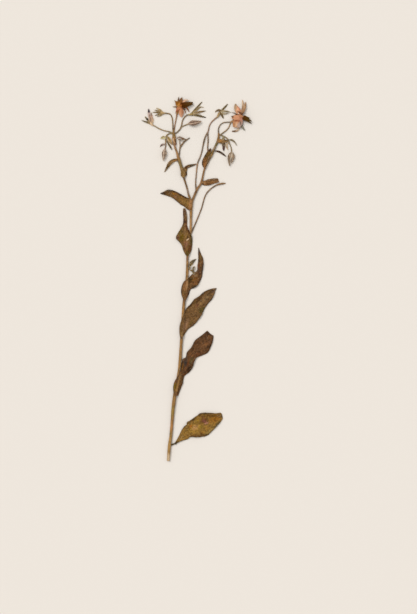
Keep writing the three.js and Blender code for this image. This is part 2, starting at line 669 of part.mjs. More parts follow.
const calyces = {
  calyx_a: {
    colour: 0x6f5a4a,
    cup: [[-21.7, 119.5], [-22.2, 119.9], [-23.0, 121.0]],
    sepals: [
      { line: [[-22.2, 120.0], [-25.2, 121.1], [-29.0, 122.5]], width: 1.3 },
      { line: [[-22.4, 120.2], [-24.6, 122.6], [-26.6, 125.0]], width: 1.5, peak: 0.5, tip: 0.3 },
      { line: [[-22.5, 120.4], [-23.5, 125.2, 0.3], [-24.2, 130.3]], width: 1.9, peak: 0.6, tip: 0.25 },
      { line: [[-22.1, 120.5], [-21.9, 124.2, 0.1], [-22.3, 127.9]], width: 1.5 },
      { line: [[-22.0, 120.2], [-21.2, 121.8], [-20.9, 123.8]], width: 1.1 },
    ],
  },
  calyx_b: {
    colour: 0x8a7a45,
    cup: [[-13.7, 127.3], [-14.7, 127.4], [-16.2, 127.6]],
    sepals: [
      { line: [[-14.3, 127.6], [-16.7, 129.7], [-19.0, 130.8]], width: 1.2 },
      { line: [[-14.5, 127.6], [-17.2, 128.9, 0.2], [-20.2, 129.4]], width: 1.1 },
      { line: [[-14.5, 127.5], [-17.8, 127.9, 0.3], [-21.5, 127.9]], width: 1.2 },
      { line: [[-14.5, 127.3], [-17.2, 126.5, 0.1], [-20.0, 125.8]], width: 1.2 },
      { line: [[-14.3, 127.1], [-16.0, 125.8], [-18.4, 124.9]], width: 1.1 },
    ],
  },
  calyx_d: {
    colour: 0x6a5836,
    cup: [[4.0, 126.3], [4.9, 126.4], [6.2, 126.8]],
    sepals: [
      { line: [[4.6, 126.6], [8.2, 130.5], [12.3, 135.0]], width: 1.2, peak: 0.5, tip: 0.4 },
      { line: [[4.8, 126.6], [8.6, 129.4, 0.2], [11.4, 131.5], [13.3, 131.1]], width: 1.0 },
      { line: [[5.0, 126.5], [9.4, 127.9, 0.3], [14.7, 128.9]], width: 1.2, peak: 0.6, tip: 0.3 },
      { line: [[4.8, 126.3], [9.2, 125.7, 0.1], [14.9, 124.4]], width: 1.3, peak: 0.7, tip: 0.3 },
      { line: [[5.0, 126.5], [8.0, 127.0, 0.6], [11.0, 126.8, 0.3]], width: 1.0 },
    ],
  },
  calyx_f: {
    colour: 0x6e6038,
    cup: [[23.0, 125.1], [23.5, 126.3], [24.3, 128.0]],
    sepals: [
      { line: [[24.4, 128.0], [26.9, 130.4], [29.8, 133.5]], width: 1.2 },
      { line: [[25.6, 128.8], [23.2, 129.3], [21.0, 128.0]], width: 1.5 },
      { line: [[23.9, 128.0, 0.6], [25.6, 126.2, 0.2], [27.4, 122.9]], width: 1.2 },
      { line: [[24.6, 128.3], [28.4, 128.6, 0.2], [32.0, 127.9]], width: 1.3 },
      { line: [[24.5, 127.8], [27.4, 126.8, 0.1], [30.6, 127.3]], width: 1.1 },
    ],
  },
  flower_1_calyx: {
    colour: 0x6b4a2c,
    cup: [[-4.6, 127.5], [-4.2, 128.4], [-3.3, 130.0]],
    sepals: [
      { line: [[-3.5, 129.8], [-4.7, 128.9], [-5.9, 127.1]], width: 1.1 },
      { line: [[-3.3, 130.2], [-5.2, 131.5], [-7.7, 131.7]], width: 1.1 },
      { line: [[-3.1, 130.4], [-5.0, 133.6], [-6.4, 136.1]], width: 1.2 },
      { line: [[-2.9, 130.6], [-3.8, 134.6], [-3.6, 138.4]], width: 1.7 },
      { line: [[-2.8, 129.9], [0.2, 130.0], [1.3, 126.8]], width: 1.0 },
    ],
  },
  flower_2_calyx: {
    colour: 0x6a4c34,
    cup: [[32.5, 121.5], [33.4, 121.9], [34.8, 122.6]],
    sepals: [
      { line: [[34.6, 122.8], [36.2, 125.0], [35.2, 126.8], [32.5, 127.9]], width: 1.0 },
      { line: [[34.1, 122.4], [33.8, 124.2], [32.0, 125.2]], width: 1.1 },
      {
        line: [[34.2, 121.8], [37.4, 118.6], [36.4, 115.6], [32.7, 114.9]],
        width: 1.4, peak: 0.7, tip: 0.5,
      },
      { line: [[34.6, 122.0], [38.4, 121.0], [39.4, 118.2]], width: 1.1 },
      { line: [[34.6, 122.4], [37.2, 125.2], [36.7, 128.5]], width: 1.1 },
    ],
  },
};

// ---------------------------------------------------------------- flowers

// An anther's thickness and its distance from the cone's axis, at shares of its length
const antherProfile = [[0, 0.75, 0.85], [0.2, 1, 1], [0.5, 0.85, 0.75], [0.8, 0.55, 0.65], [1, 0.18, 0.62]];
const antherSides = 6;
const antherFlatness = 0.85; // height of an anther over its width
const coneFlatness = 0.7; // height of the ring that the anthers stand in over its width
const coneTurn = 0.3; // of the first anther round the axis

// Slender anthers close together round an axis, pressed flat, whose points may splay
function anthers({ from, to, ringRadius, anther, lengths, splay = 0, margin = 0 }) {
  const start = new THREE.Vector3(...from);
  const end = new THREE.Vector3(...to);
  const axis = end.clone().sub(start).normalize();
  const left = new THREE.Vector3(-axis.y, axis.x, 0).normalize();
  const spindles = lengths.map((length, index) => {
    const angle = (2 * Math.PI * index) / lengths.length + coneTurn;
    const rings = [];
    for (const [along, thick, spread] of antherProfile) {
      const centre = start.clone().lerp(end, along * length);
      centre.addScaledVector(left, ringRadius * (spread + splay * along ** 2) * Math.cos(angle));
      centre.z += coneFlatness * ringRadius * spread * Math.sin(angle);
      const ring = [];
      for (let side = 0; side < antherSides; side += 1) {
        const turn = (2 * Math.PI * side) / antherSides;
        const reach = anther * thick + margin;
        ring.push([
          centre.x + left.x * reach * Math.cos(turn),
          centre.y + left.y * reach * Math.cos(turn),
          Math.max(0, centre.z + antherFlatness * reach * Math.sin(turn)),
        ]);
      }
      rings.push(ring);
    }
    return loft(rings);
  });
  return join(spindles);
}

const flowers = {
  flower_1: {
    colour: 0xb07a4c,
    hub: [[-2.6, 131.4], [-1.8, 132.2], [-0.6, 132.8]],
    cone: {
      from: [-1.4, 132.2, 1.9], to: [6.2, 134.0, 1.4], ringRadius: 1.15, anther: 0.84,
      lengths: [1, 0.98, 1, 0.99, 1],
    },
    petals: [
      { line: [[-2.0, 131.8], [-2.0, 128.2], [-1.9, 126.2, -0.5], [-1.7, 124.4, -1.1]], width: 3.5 },
      { line: [[-2.4, 132.0], [-3.9, 130.2, 0.4], [-5.5, 127.9, 0.5]], width: 2.5 },
      { line: [[-2.2, 132.4], [-4.2, 133.6], [-5.8, 135.2]], width: 3.6 },
      { line: [[-1.8, 132.8], [-2.1, 135.5], [-1.3, 138.1, -0.9]], width: 2.4 },
      { line: [[-1.0, 133.2], [0.6, 135.6], [3.4, 136.1, -0.9]], width: 1.9 },
      { line: [[-1.4, 131.6], [1.6, 130.9, 0.2], [3.6, 128.0, -0.9]], width: 1.3 },
    ],
  },
  flower_2: {
    colour: 0xc28a66,
    hub: [[37.0, 124.9], [38.4, 125.1], [39.6, 125.0]],
    cone: {
      from: [40.2, 124.3, 1.75], to: [46.1, 121.7, 1.1], ringRadius: 0.95, anther: 0.74,
      lengths: [0.7, 1.04, 1.08, 0.84, 0.66], splay: 1,
    },
    petals: [
      {
        line: [[38.2, 126.0], [36.7, 128.8], [35.4, 131.4, -0.4], [35.0, 133.7, -1]],
        width: 3.9, base: 0.6, peak: 0.35,
      },
      { line: [[38.7, 125.4], [40.4, 130.8], [39.7, 136.5, -1]], width: 2.2 },
      { line: [[39.0, 125.6], [41.1, 130.6], [42.1, 135.0, -1]], width: 2.1 },
      { line: [[39.4, 124.9], [36.2, 124.4, 0.2], [32.5, 124.3]], width: 3.9, peak: 0.5, tip: 0.35 },
      { line: [[38.2, 124.8], [36.2, 121.4], [35.5, 117.4]], width: 5.6, peak: 0.6, tip: 0.8 },
      { line: [[39.0, 124.6], [38.8, 121.0], [37.4, 117.4]], width: 2.6, peak: 0.6, tip: 0.4 },
      { line: [[39.2, 124.4], [38.9, 119.6], [41.5, 115.6, -1]], width: 2.0, peak: 0.6, tip: 0.3 },
    ],
  },
};

const petalShape = {
  thickness: petalThickness, rise: corollaRise, base: 0.45, peak: 0.45, steps: 5, cup: 0.25,
};

function corolla({ hub, petals, cone }) {
  const centreLine = hub.map(([x, y]) => [x, y, corollaRise - 0.15]);
  const centre = bud({ line: centreLine, radius: 0.9, flatness: 0.6, sides: 8, steps: 3, ridge: 0 });
  const blades = petals.map((petal) => lance({ ...petalShape, ...petal }));
  return largest(clearOfStem(join([centre, ...blades])).subtract(anthers({ ...cone, margin: gap })));
}

// ---------------------------------------------------------------- the young shoot above leaf 4

// Its two short stalks, each a list of [x, y, width]
const axillaryStalks = [
  [[3.45, 20.2, 1.0], [3.9, 21.8, 1.0], [4.2, 24.2, 1.2]],
  [[3.6, 20.6, 0.9], [5.0, 20.0, 0.8], [6.0, 20.3, 0.9], [6.4, 21.6, 0.9]],
];

const axillaryShoot = clearOfStem(join([
  ...axillaryStalks.map((line) => stalk({ section: stalkSection, spacing: 1.5, line })),
  lance({ line: [[3.9, 23.2], [5.6, 25.8, 0.2], [8.3, 27.9]], width: 2.4, columns: 5, peak: 0.4 }),
  bud({ line: [[6.2, 20.8], [6.6, 21.9], [7.3, 22.9]], radius: 0.75, steps: 5 }),
]));

// ---------------------------------------------------------------- the shoot

function meshOf(name, solid, colour, roughness = 0.85) {
  const { vertProperties, triVerts } = solid.getMesh();
  const geometry = new THREE.BufferGeometry();
  geometry.setAttribute('position', new THREE.BufferAttribute(vertProperties, 3));
  geometry.setIndex(new THREE.BufferAttribute(triVerts, 1));
  geometry.computeVertexNormals();
  const material = new THREE.MeshStandardMaterial({ color: colour, roughness, metalness: 0 });
  const mesh = new THREE.Mesh(geometry, material);
  mesh.name = name;
  return mesh;
}

const group = new THREE.Group();
group.add(meshOf('stem', stem, 0x8a6439));
for (const [name, leaf] of Object.entries(leaves)) group.add(meshOf(name, leafBlade(leaf), leaf.colour));
group.add(meshOf('axillary_shoot', axillaryShoot, 0x6a5a38));
for (const [name, bract] of Object.entries(bracts)) group.add(meshOf(name, bractOf(bract), bract.colour));
for (const [name, spec] of Object.entries(buds)) group.add(meshOf(name, bud(spec), spec.colour));
group.add(meshOf('right_bud_hanging', hangingBudRight, 0x75605a));
for (const [name, spec] of Object.entries(calyces)) group.add(meshOf(name, calyx(spec), spec.colour));
for (const [name, flower] of Object.entries(flowers)) {
  group.add(meshOf(`${name}_corolla`, corolla(flower), flower.colour, 0.7));
  group.add(meshOf(`${name}_anthers`, anthers(flower.cone), 0x32200f, 0.7));
}

export default group;
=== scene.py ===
import json
import math

import bpy
import numpy as np
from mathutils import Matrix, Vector, noise


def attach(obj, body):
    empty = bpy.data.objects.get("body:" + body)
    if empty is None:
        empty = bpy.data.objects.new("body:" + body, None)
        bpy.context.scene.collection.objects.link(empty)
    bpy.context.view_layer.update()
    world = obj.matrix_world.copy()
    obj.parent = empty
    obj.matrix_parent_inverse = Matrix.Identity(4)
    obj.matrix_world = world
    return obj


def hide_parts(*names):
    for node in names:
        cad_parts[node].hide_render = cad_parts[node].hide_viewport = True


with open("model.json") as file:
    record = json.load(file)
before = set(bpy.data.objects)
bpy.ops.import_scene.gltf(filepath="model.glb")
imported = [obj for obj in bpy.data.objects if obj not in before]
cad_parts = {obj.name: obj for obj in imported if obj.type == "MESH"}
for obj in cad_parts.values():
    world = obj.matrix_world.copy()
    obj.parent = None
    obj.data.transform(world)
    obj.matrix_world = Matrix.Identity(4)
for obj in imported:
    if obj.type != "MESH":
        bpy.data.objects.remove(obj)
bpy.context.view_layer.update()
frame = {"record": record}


# ---------------------------------------------------------------- the stem and its stalks
# One soft, ribbed stem with its branches and thin flower stalks, grown as one piece and pressed flat
# while it was fresh. It lies on its flattened underside, and everything else grows from it.

slot_of = {part["node"]: part["material_slot"] for part in frame["record"]["subparts"]}


def curve(points, at):
    """Points of a smooth (centripetal Catmull-Rom) curve through way-points, at shares of the way from
    0 to 1. Each stretch from one way-point to the next takes an equal share."""
    way = np.array([(*point, 0.0)[:3] for point in points], float)
    way = np.vstack([2 * way[0] - way[1], way, 2 * way[-1] - way[-2]])
    place = np.clip(at, 0, 1) * (len(way) - 3)
    first = np.minimum(place.astype(int), len(way) - 4)
    share = (place - first)[:, None]
    a, b, c, d = (way[first + step] for step in range(4))
    before, between, after = (
        np.sqrt(np.linalg.norm(end - start, axis=1))[:, None] for start, end in ((a, b), (b, c), (c, d))
    )
    leave = between * ((b - a) / before - (c - a) / (before + between)) + c - b
    arrive = c - b - between * ((d - b) / (between + after) - (d - c) / after)
    return (
        b + leave * share
        + (3 * (c - b) - 2 * leave - arrive) * share ** 2
        + (2 * (b - c) + leave + arrive) * share ** 3
    )


def leftward(line):
    """Level direction to the left of a line, at each of its points."""
    ahead = np.gradient(line[:, :2], axis=0)
    ahead /= np.linalg.norm(ahead, axis=1)[:, None]
    return np.column_stack([-ahead[:, 1], ahead[:, 0], np.zeros(len(ahead))])


def ripple(points, size):
    """Smooth unevenness from about -1 to 1 at each point, with bumps of a size in millimetres."""
    return np.array([noise.noise(Vector(point) / size) for point in points])


def eased(share):
    """A share from 0 to 1 that starts and ends gently."""
    return share * share * (3 - 2 * share)


def colour(levels):
    """Linear colour from everyday levels of 0 to 255."""
    share = np.array(levels) / 255
    return np.where(share <= 0.04045, share / 12.92, ((share + 0.055) / 1.055) ** 2.4)


def painted(points, base, blots=()):
    """Colour at each point: a base with soft, ragged blots. A blot is its place (x, y) and its reach
    each way along and across in millimetres, its turn from the x axis in degrees, and its levels."""
    tint = np.tile(colour(base), (len(points), 1))
    ragged = 0.35 * ripple(points, 1.9) + 0.3 * ripple(points, 0.7)
    for x, y, length, width, turn, levels in blots:
        ahead = np.array([math.cos(math.radians(turn)), math.sin(math.radians(turn))])
        away = points[:, :2] - (x, y)
        along = away @ ahead / length
        across = away @ (-ahead[1], ahead[0]) / width
        share = eased(np.clip(1.4 - np.hypot(along, across) + ragged, 0, 1))[:, None]
        tint = tint * (1 - share) + colour(levels) * share
    return tint


def grid_faces(rows, columns, round_about=False):
    """Faces between rows of points. Rows that go round about are closed, as a tube's are."""
    return [
        (
            row * columns + column,
            row * columns + (column + 1) % columns,
            (row + 1) * columns + (column + 1) % columns,
            (row + 1) * columns + column,
        )
        for row in range(rows - 1)
        for column in range(columns if round_about else columns - 1)
    ]


class Growth:
    """Closed shapes in millimetres that make one piece, with a colour and three marks at each point.
    The colour of a blade has a fourth level: how far out from its middle line a point lies, to 1."""

    sharp_from = math.radians(55)  # an edge between faces that meet at more than this stays crisp

    def __init__(self):
        self.points, self.faces, self.tints, self.marks, self.count = [], [], [], [], 0

    def add(self, points, faces, tint, marks=(0, 0, 0)):
        points = points.reshape(-1, 3)
        tint = np.broadcast_to(tint, (len(points), np.shape(tint)[-1]))
        if tint.shape[1] == 3:
            tint = np.column_stack([tint, np.ones(len(points))])
        self.points.append(points)
        self.tints.append(tint)
        self.marks.append(np.broadcast_to(marks, points.shape))
        self.faces += [[corner + self.count for corner in face] for face in faces]
        self.count += len(points)

    def tube(self, rings, tint, marks):
        """A solid skinned over rings of points."""
        count, sides = rings.shape[:2]
        last = (count - 1) * sides
        ends = [list(range(sides))[::-1], list(range(last, last + sides))]
        self.add(rings, grid_faces(count, sides, True) + ends, tint, marks)

    def blade(self, middle, half, tint, marks):
        """A thin blade, half as thick above the rows of its middle as below, and never in the ground."""
        rows, columns = middle.shape[:2]
        middle = middle.copy()
        middle[..., 2] = np.maximum(middle[..., 2], half)
        lift = np.stack([0 * half, 0 * half, half], axis=-1)
        above = grid_faces(rows, columns)
        under = rows * columns
        below = [tuple(under + corner for corner in reversed(face)) for face in above]
        rim = (
            list(range(columns))
            + [row * columns + columns - 1 for row in range(1, rows)]
            + [under - 1 - column for column in range(1, columns)]
            + [row * columns for row in range(rows - 2, 0, -1)]
        )
        sides = [(under + here, under + there, there, here) for here, there in zip(rim, rim[1:] + rim[:1])]
        both = np.concatenate([(middle + lift).reshape(-1, 3), (middle - lift).reshape(-1, 3)])
        self.add(both, above + below + sides, np.tile(tint, (2, 1)), np.tile(marks, (2, 1)))

    def piece(self, name, finish):
        mesh = bpy.data.meshes.new(name)
        mesh.from_pydata(np.concatenate(self.points) / 1000, [], self.faces)
        tint = mesh.attributes.new("tint", "FLOAT_COLOR", "POINT")
        tint.data.foreach_set("color", np.concatenate(self.tints).astype(np.float32).ravel())
        marks = mesh.attributes.new("marks", "FLOAT_VECTOR", "POINT")
        marks.data.foreach_set("vector", np.concatenate(self.marks).astype(np.float32).ravel())
        mesh.materials.append(finish.material)
        mesh.shade_smooth()
        mesh.set_sharp_from_angle(angle=self.sharp_from)
        piece = bpy.data.objects.new(name, mesh)
        bpy.context.scene.collection.objects.link(piece)
        return piece


class Value:
    """What a socket gives in a material, so that sums on it read as plain sums."""

    def __init__(self, finish, socket):
        self.finish, self.socket = finish, socket

    def output(self, name):
        return Value(self.finish, self.socket.node.outputs[name])

    def maths(self, operation, *values):
        return self.finish.node("ShaderNodeMath", {"operation": operation}, dict(enumerate(values)))

    def __add__(self, other):
        return self.maths("ADD", self, other)

    def __sub__(self, other):
        return self.maths("SUBTRACT", self, other)

    def __rsub__(self, other):
        return self.maths("SUBTRACT", other, self)

    def __mul__(self, other):
        return self.maths("MULTIPLY", self, other)

    def __abs__(self):
        return self.maths("ABSOLUTE", self)

    def fraction(self):
        return self.maths("FRACT", self)

    def most(self, other):
        return self.maths("MAXIMUM", self, other)

    __radd__ = __add__
    __rmul__ = __mul__

    def rise(self, low, high):
        """0 below low, 1 above high, and smooth in between."""
        return self.finish.node(
            "ShaderNodeMapRange",
            {"interpolation_type": "SMOOTHSTEP"},
            {"Value": self, "From Min": low, "From Max": high},
        )


class Finish:
    """A material made from nodes, each with its settings and what feeds its sockets."""

    def __init__(self, name):
        self.material = bpy.data.materials.new(name)
        self.material.use_nodes = True
        self.tree = self.material.node_tree
        self.surface = self.tree.nodes["Principled BSDF"]

    def node(self, kind, settings=None, sockets=None, output=0):
        node = self.tree.nodes.new(kind)
        for name, value in (settings or {}).items():
            setattr(node, name, value)
        for name, value in (sockets or {}).items():
            self.feed(node.inputs[name], value)
        return Value(self, node.outputs[output])

    def feed(self, socket, value):
        if isinstance(value, Value):
            self.tree.links.new(value.socket, socket)
        else:
            socket.default_value = value

    def attribute(self, name, output):
        return self.node("ShaderNodeAttribute", {"attribute_name": name}, output=output)

    def marks(self):
        """The three marks at each point of a Growth."""
        split = self.node("ShaderNodeSeparateXYZ", sockets={0: self.attribute("marks", "Vector")})
        return split, split.output("Y"), split.output("Z")

    def place(self):
        return self.node("ShaderNodeTexCoord", output="Object")

    def vector(self, x, y, z):
        return self.node("ShaderNodeCombineXYZ", sockets={0: x, 1: y, 2: z})

    def grain(self, at, scale, detail=2.0):
        """Soft noise from 0 to 1."""
        return self.node("ShaderNodeTexNoise", sockets={"Vector": at, "Scale": scale, "Detail": detail})

    def shade(self, tint, amount):
        """A colour made darker below 1 and lighter above it."""
        return self.node("ShaderNodeVectorMath", {"operation": "SCALE"}, {0: tint, "Scale": amount})

    def blend(self, share, first, second):
        return self.node("ShaderNodeMix", {"data_type": "RGBA"}, {0: share, 6: first, 7: second}, output=2)

    def relief(self, height, depth_mm):
        """Feeds Normal with a relief of a depth in millimetres."""
        bump = self.node("ShaderNodeBump", sockets={"Height": height, "Distance": depth_mm / 1000})
        self.feed(self.surface.inputs["Normal"], bump)

    def surface_is(self, **values):
        for name, value in values.items():
            self.feed(self.surface.inputs[name.replace("_", " ")], value)


pressed = 0.78  # height of a stem or stalk over its width
thin_sides, stem_sides = 12, 28  # points round a thin stalk, and round the stem or a branch
rib_depth, unevenness = 0.045, 0.05  # both are shares of the width
end_reach = 0.5  # a stalk runs on this far into a calyx, or under the foot of a bud

# Each stalk runs through points of its line: (x, y, width). Those with ribs are the stem and branches.
stalks = {
    "main": {
        "ribs": 9, "hairs": 8, "longest": 1.1, "tint": (146, 108, 62),
        "blots": [
            (-9.4, -98, 12, 3, 80, (156, 120, 68)), (-7.8, -76, 4, 1.6, 80, (136, 112, 56)),
            (-9, -90, 3, 1.2, 80, (126, 100, 52)), (-8.5, -86.5, 3.4, 1.6, 80, (160, 112, 64)),
            (-10.4, -107.6, 3.2, 2.4, 80, (192, 164, 128)), (-2, -30, 14, 2.5, 82, (140, 104, 60)),
            (0.6, 1, 6, 2.5, 80, (112, 82, 52)), (4.6, 51, 7, 2, 85, (160, 122, 80)),
            (2.3, 24, 5, 2, 85, (136, 102, 62)), (2.3, 28.4, 1.8, 2, 90, (128, 92, 62)),
            (2.75, 16.4, 3.6, 0.35, 84, (184, 148, 110)), (1.2, 16.4, 3.6, 0.45, 84, (112, 80, 50)),
            (5.2, 68, 4, 2, 85, (136, 100, 64)),
        ],
        "line": [
            (-10.7, -109.6, 1.9), (-10.4, -105.5, 2), (-9.8, -98.5, 2.1), (-9, -93, 1.9),
            (-8.6, -88.6, 1.9), (-8, -81.5, 2), (-7.5, -75, 2.2), (-6.7, -68.2, 2.4), (-5.4, -59, 2.1),
            (-4.1, -52.5, 1.8), (-3.2, -46.5, 1.8), (-2.6, -40.5, 2), (-2.2, -34, 1.9), (-1.75, -27.3, 1.9),
            (-1.4, -20.5, 1.9), (-0.9, -13.6, 1.9), (-0.4, -6.8, 1.9), (0.25, 0, 2), (1.2, 6.8, 2.1),
            (1.9, 13, 2), (2.2, 19, 1.8), (2.3, 25.5, 1.6), (2.4, 30, 1.5), (3.4, 38, 1.5), (4.4, 45, 1.5),
            (4.6, 51, 1.5), (4.7, 58, 1.7), (4.9, 64, 2), (5.2, 68.4, 2.4),
        ],
    },
    "left branch": {
        "ribs": 7, "tint": (128, 98, 62),
        "blots": [
            (0.9, 80, 5, 2, -80, (100, 76, 48)), (2.7, 73.4, 2.2, 1.4, -75, (140, 120, 104)),
            (-4.3, 96.6, 2.2, 1.4, -75, (146, 104, 54)), (-2.4, 92, 4, 2, -75, (128, 106, 66)),
            (-4.6, 100, 4, 2, -75, (150, 114, 78)), (-6.4, 105, 2.4, 2, -80, (164, 126, 94)),
            (-6.9, 108, 3, 2, -85, (140, 104, 70)),
        ],
        "line": [
            (5, 66.4, 1.6), (4, 69.2, 1.4), (3, 72, 1.2), (2.1, 76, 1.1), (0.9, 80, 1.1), (-0.1, 83.2, 1.3),
            (-1, 86.5, 1.9), (-2, 91, 2), (-3.4, 95.6, 2.2), (-4.3, 98.6, 1.7), (-5.1, 101.2, 1.3),
            (-6.1, 104, 1.3), (-6.8, 107, 1.5), (-7, 110.4, 1.6), (-7.2, 113.6, 1.6), (-7, 115.4, 1.2),
        ],
    },
    "right branch": {
        "ribs": 7, "tint": (130, 98, 66),
        "blots": [
            (8.6, 73.8, 1.4, 1.4, 60, (100, 70, 45)), (11.5, 80, 5, 2, 60, (140, 102, 66)),
            (18.8, 99, 4, 2, 60, (124, 98, 58)), (17.2, 96.4, 1.2, 0.8, 60, (106, 78, 52)),
            (21, 104, 2.6, 2, 65, (144, 122, 96)), (22.1, 105.9, 1.4, 1, 65, (104, 96, 50)),
            (23.2, 109, 2.4, 2, 80, (116, 88, 52)),
        ],
        "line": [
            (5.2, 66.6, 1.8), (6.6, 70, 1.5), (8, 73.2, 1.6), (9.2, 76, 1.6), (11, 78.4, 1.4),
            (12.2, 81.6, 1.3), (13, 85.2, 1.2), (13.9, 88.9, 1.2), (15.3, 92, 1.2), (17, 95.4, 1.4),
            (18.7, 98.8, 1.7), (20, 101.8, 1.6), (21.4, 104.8, 1.4), (22.8, 107.8, 1.5), (23.6, 111, 1.4),
            (23.6, 113.4, 1.2),
        ],
    },
    "middle branch": {
        "tint": (126, 104, 82),
        "blots": [
            (8.2, 83, 4, 1.5, 88, (128, 110, 96)), (8.9, 90.6, 3.4, 1.5, 86, (164, 126, 92)),
            (9.7, 94.8, 1.8, 1.5, 60, (108, 92, 76)), (13.4, 107, 3.4, 1.5, 75, (106, 86, 68)),
        ],
        "line": [
            (8.4, 74.2, 1.2), (8, 77, 0.9), (7.9, 80.5, 0.8), (8.3, 85, 0.8), (8.75, 90, 0.8),
            (9.5, 94, 0.85), (10.9, 97.2, 0.85), (12, 100.6, 0.8), (12.8, 104.4, 0.8), (13.6, 108.2, 1),
            (14.6, 111.4, 0.9), (15.9, 114, 0.8),
        ],
    },
    "upright stalk": {
        "tint": (120, 100, 84),
        "line": [
            (17.2, 96.4, 0.8), (16.4, 99.4, 0.8), (16.1, 103, 0.8), (16.4, 109, 0.85), (16.2, 114, 0.8),
        ],
    },
    "side stalk": {
        "tint": (118, 90, 64),
        "blots": [(7, 50, 5, 2, 60, (96, 74, 52)), (26, 79.3, 3, 1.5, 0, (132, 100, 66))],
        "line": [
            (4.9, 45.6, 1.1), (6.3, 48.8, 0.85), (8.3, 53.4, 0.8), (9.7, 56.8, 0.75), (11, 60, 0.75),
            (12.2, 63.4, 0.75), (13.2, 67.2, 0.75), (14.3, 70.6, 0.75), (16, 73.5, 0.8), (18.8, 76.2, 0.8),
            (21.6, 78, 0.85), (24.2, 78.95, 1.1), (26.6, 79.4, 1.1), (28, 79.5, 0.6),
        ],
    },
    "lowest petiole": {
        "tint": (76, 62, 36), "line": [(-10.2, -98.6, 1.2), (-8.6, -98.7, 1.1), (-6.6, -98, 1)],
    },
    "old flower stalk": {
        "tint": (118, 98, 74),
        "blots": [
            (1.2, 108.8, 3.2, 1.4, 40, (98, 80, 60)), (-1.6, 105.8, 0.8, 0.8, 0, (70, 50, 34)),
            (2.6, 109.6, 0.9, 0.8, 0, (66, 52, 40)),
        ],
        "line": [
            (-3.6, 96.8, 0.9), (-3.1, 99.8, 0.8), (-2.9, 102.6, 0.8), (-2.3, 104.4, 1), (-0.6, 106.9, 1),
            (1.4, 108.9, 0.95), (3.6, 110.3, 0.6),
        ],
    },
    "hairy bud stalk": {
        "tint": (172, 146, 122), "line": [(-2.9, 103.2, 0.7), (-2.8, 105.6, 0.65), (-3, 108.1, 0.65)],
    },
    "hanging bud stalk left": {
        "tint": (140, 120, 72), "blots": [(-12.4, 105, 3, 1.4, 90, (120, 98, 78))],
        "line": [
            (-7.2, 113.4, 0.8), (-9.8, 113.4, 0.75), (-12, 112, 0.75), (-12.6, 109, 0.7),
            (-12.4, 105.6, 0.7), (-12.9, 103.2, 0.7),
        ],
    },
    "calyx a stalk": {
        "tint": (140, 122, 90),
        "line": [
            (-7.1, 113.2, 0.8), (-9.8, 114.6, 0.8), (-13.6, 115.4, 0.75), (-17, 116.8, 0.75),
            (-19.6, 118.3, 0.75), (-21.4, 119.3, 0.8),
        ],
    },
    "calyx b stalk": {
        "tint": (118, 98, 68),
        "line": [
            (-7.2, 113.4, 0.9), (-7.6, 117, 0.8), (-7.7, 121, 0.75), (-8.2, 124.4, 0.75),
            (-9.5, 126.6, 0.75), (-11.6, 127.2, 0.8), (-13.4, 127.3, 0.9),
        ],
    },
    "flower 1 stalk": {
        "tint": (140, 100, 68),
        "line": [
            (-7, 113.4, 0.9), (-6.5, 117.6, 0.75), (-5.8, 121.2, 0.7), (-5.2, 124.4, 0.75),
            (-4.7, 127.2, 0.9),
        ],
    },
    "calyx d stalk": {
        "tint": (112, 92, 64),
        "line": [
            (-7.1, 112.8, 0.9), (-4.6, 114.4, 0.8), (-2.6, 116.6, 0.8), (-1.7, 119, 0.75),
            (-1.1, 122, 0.75), (0.2, 124.4, 0.75), (2, 125.9, 0.8), (3.7, 126.3, 0.9),
        ],
    },
    "bud e stalk": {
        "tint": (156, 134, 100),
        "line": [(-2.2, 117.3, 0.7), (-0.8, 118.4, 0.7), (1, 119.2, 0.7), (2.7, 119.8, 0.8)],
    },
    "calyx f stalk": {
        "tint": (136, 104, 84),
        "line": [
            (15.9, 113.4, 0.85), (16.7, 116, 0.75), (17.3, 118.6, 0.7), (18.6, 121, 0.7),
            (20.8, 123.2, 0.75), (22.8, 124.8, 0.9),
        ],
    },
    "flower 2 stalk left": {
        "tint": (114, 102, 88),
        "line": [
            (23.6, 112.6, 0.9), (23.5, 116.6, 0.75), (24.6, 119.2, 0.7), (26.8, 120.8, 0.7),
            (29.4, 121.1, 0.75), (32.1, 121.3, 0.8),
        ],
    },
    "flower 2 stalk right": {
        "tint": (130, 106, 72),
        "line": [
            (23.5, 111.6, 0.9), (26.2, 113.6, 0.75), (28.6, 115.4, 0.75), (30.3, 117.3, 0.7),
            (31.3, 119.6, 0.7), (32.1, 121.4, 0.8),
        ],
    },
    "hanging bud stalk right": {
        "tint": (124, 108, 78),
        "line": [
            (23.6, 112.4, 0.8), (27, 111.6, 0.75), (29.8, 109.6, 0.75), (31.2, 106.2, 0.7),
            (32.2, 103.2, 0.7), (32.4, 101.4, 0.75),
        ],
    },
}

stalk_finish = Finish("dried stem")
along, around, fine = stalk_finish.marks()  # millimetres along, share of the way round, 1 if thin
fibre = stalk_finish.grain(stalk_finish.vector(along * 0.16, around * 9, fine), 1.0, 3.0)
patch = stalk_finish.grain(stalk_finish.vector(along * 0.35, around * 2, fine), 1.0, 2.0)
fleck = stalk_finish.grain(stalk_finish.place(), 1500.0, 3.0)
# Painted shade: the stem is coloured darker down its rounded sides than along its top.
side = abs(around - 0.25).rise(0.08, 0.24)
flesh = stalk_finish.attribute("tint", "Color")
flesh = stalk_finish.blend(0.5 * patch.rise(0.5, 0.7), flesh, (*colour((168, 122, 70)), 1.0))
flesh = stalk_finish.blend(0.55 * patch.rise(0.5, 0.3), flesh, (*colour((96, 74, 44)), 1.0))
# Fibre streaks, less the painted shade down the sides.
flesh = stalk_finish.shade(flesh, 0.74 + 0.7 * fibre - 0.34 * side)
flesh = stalk_finish.shade(flesh, 1.12 - 0.45 * fleck.rise(0.52, 0.72))
stalk_finish.surface_is(Base_Color=flesh, Roughness=0.7 + 0.15 * fleck, Specular_IOR_Level=0.12)
stalk_finish.relief(fibre * 0.8 + fleck * 0.4, 0.25)

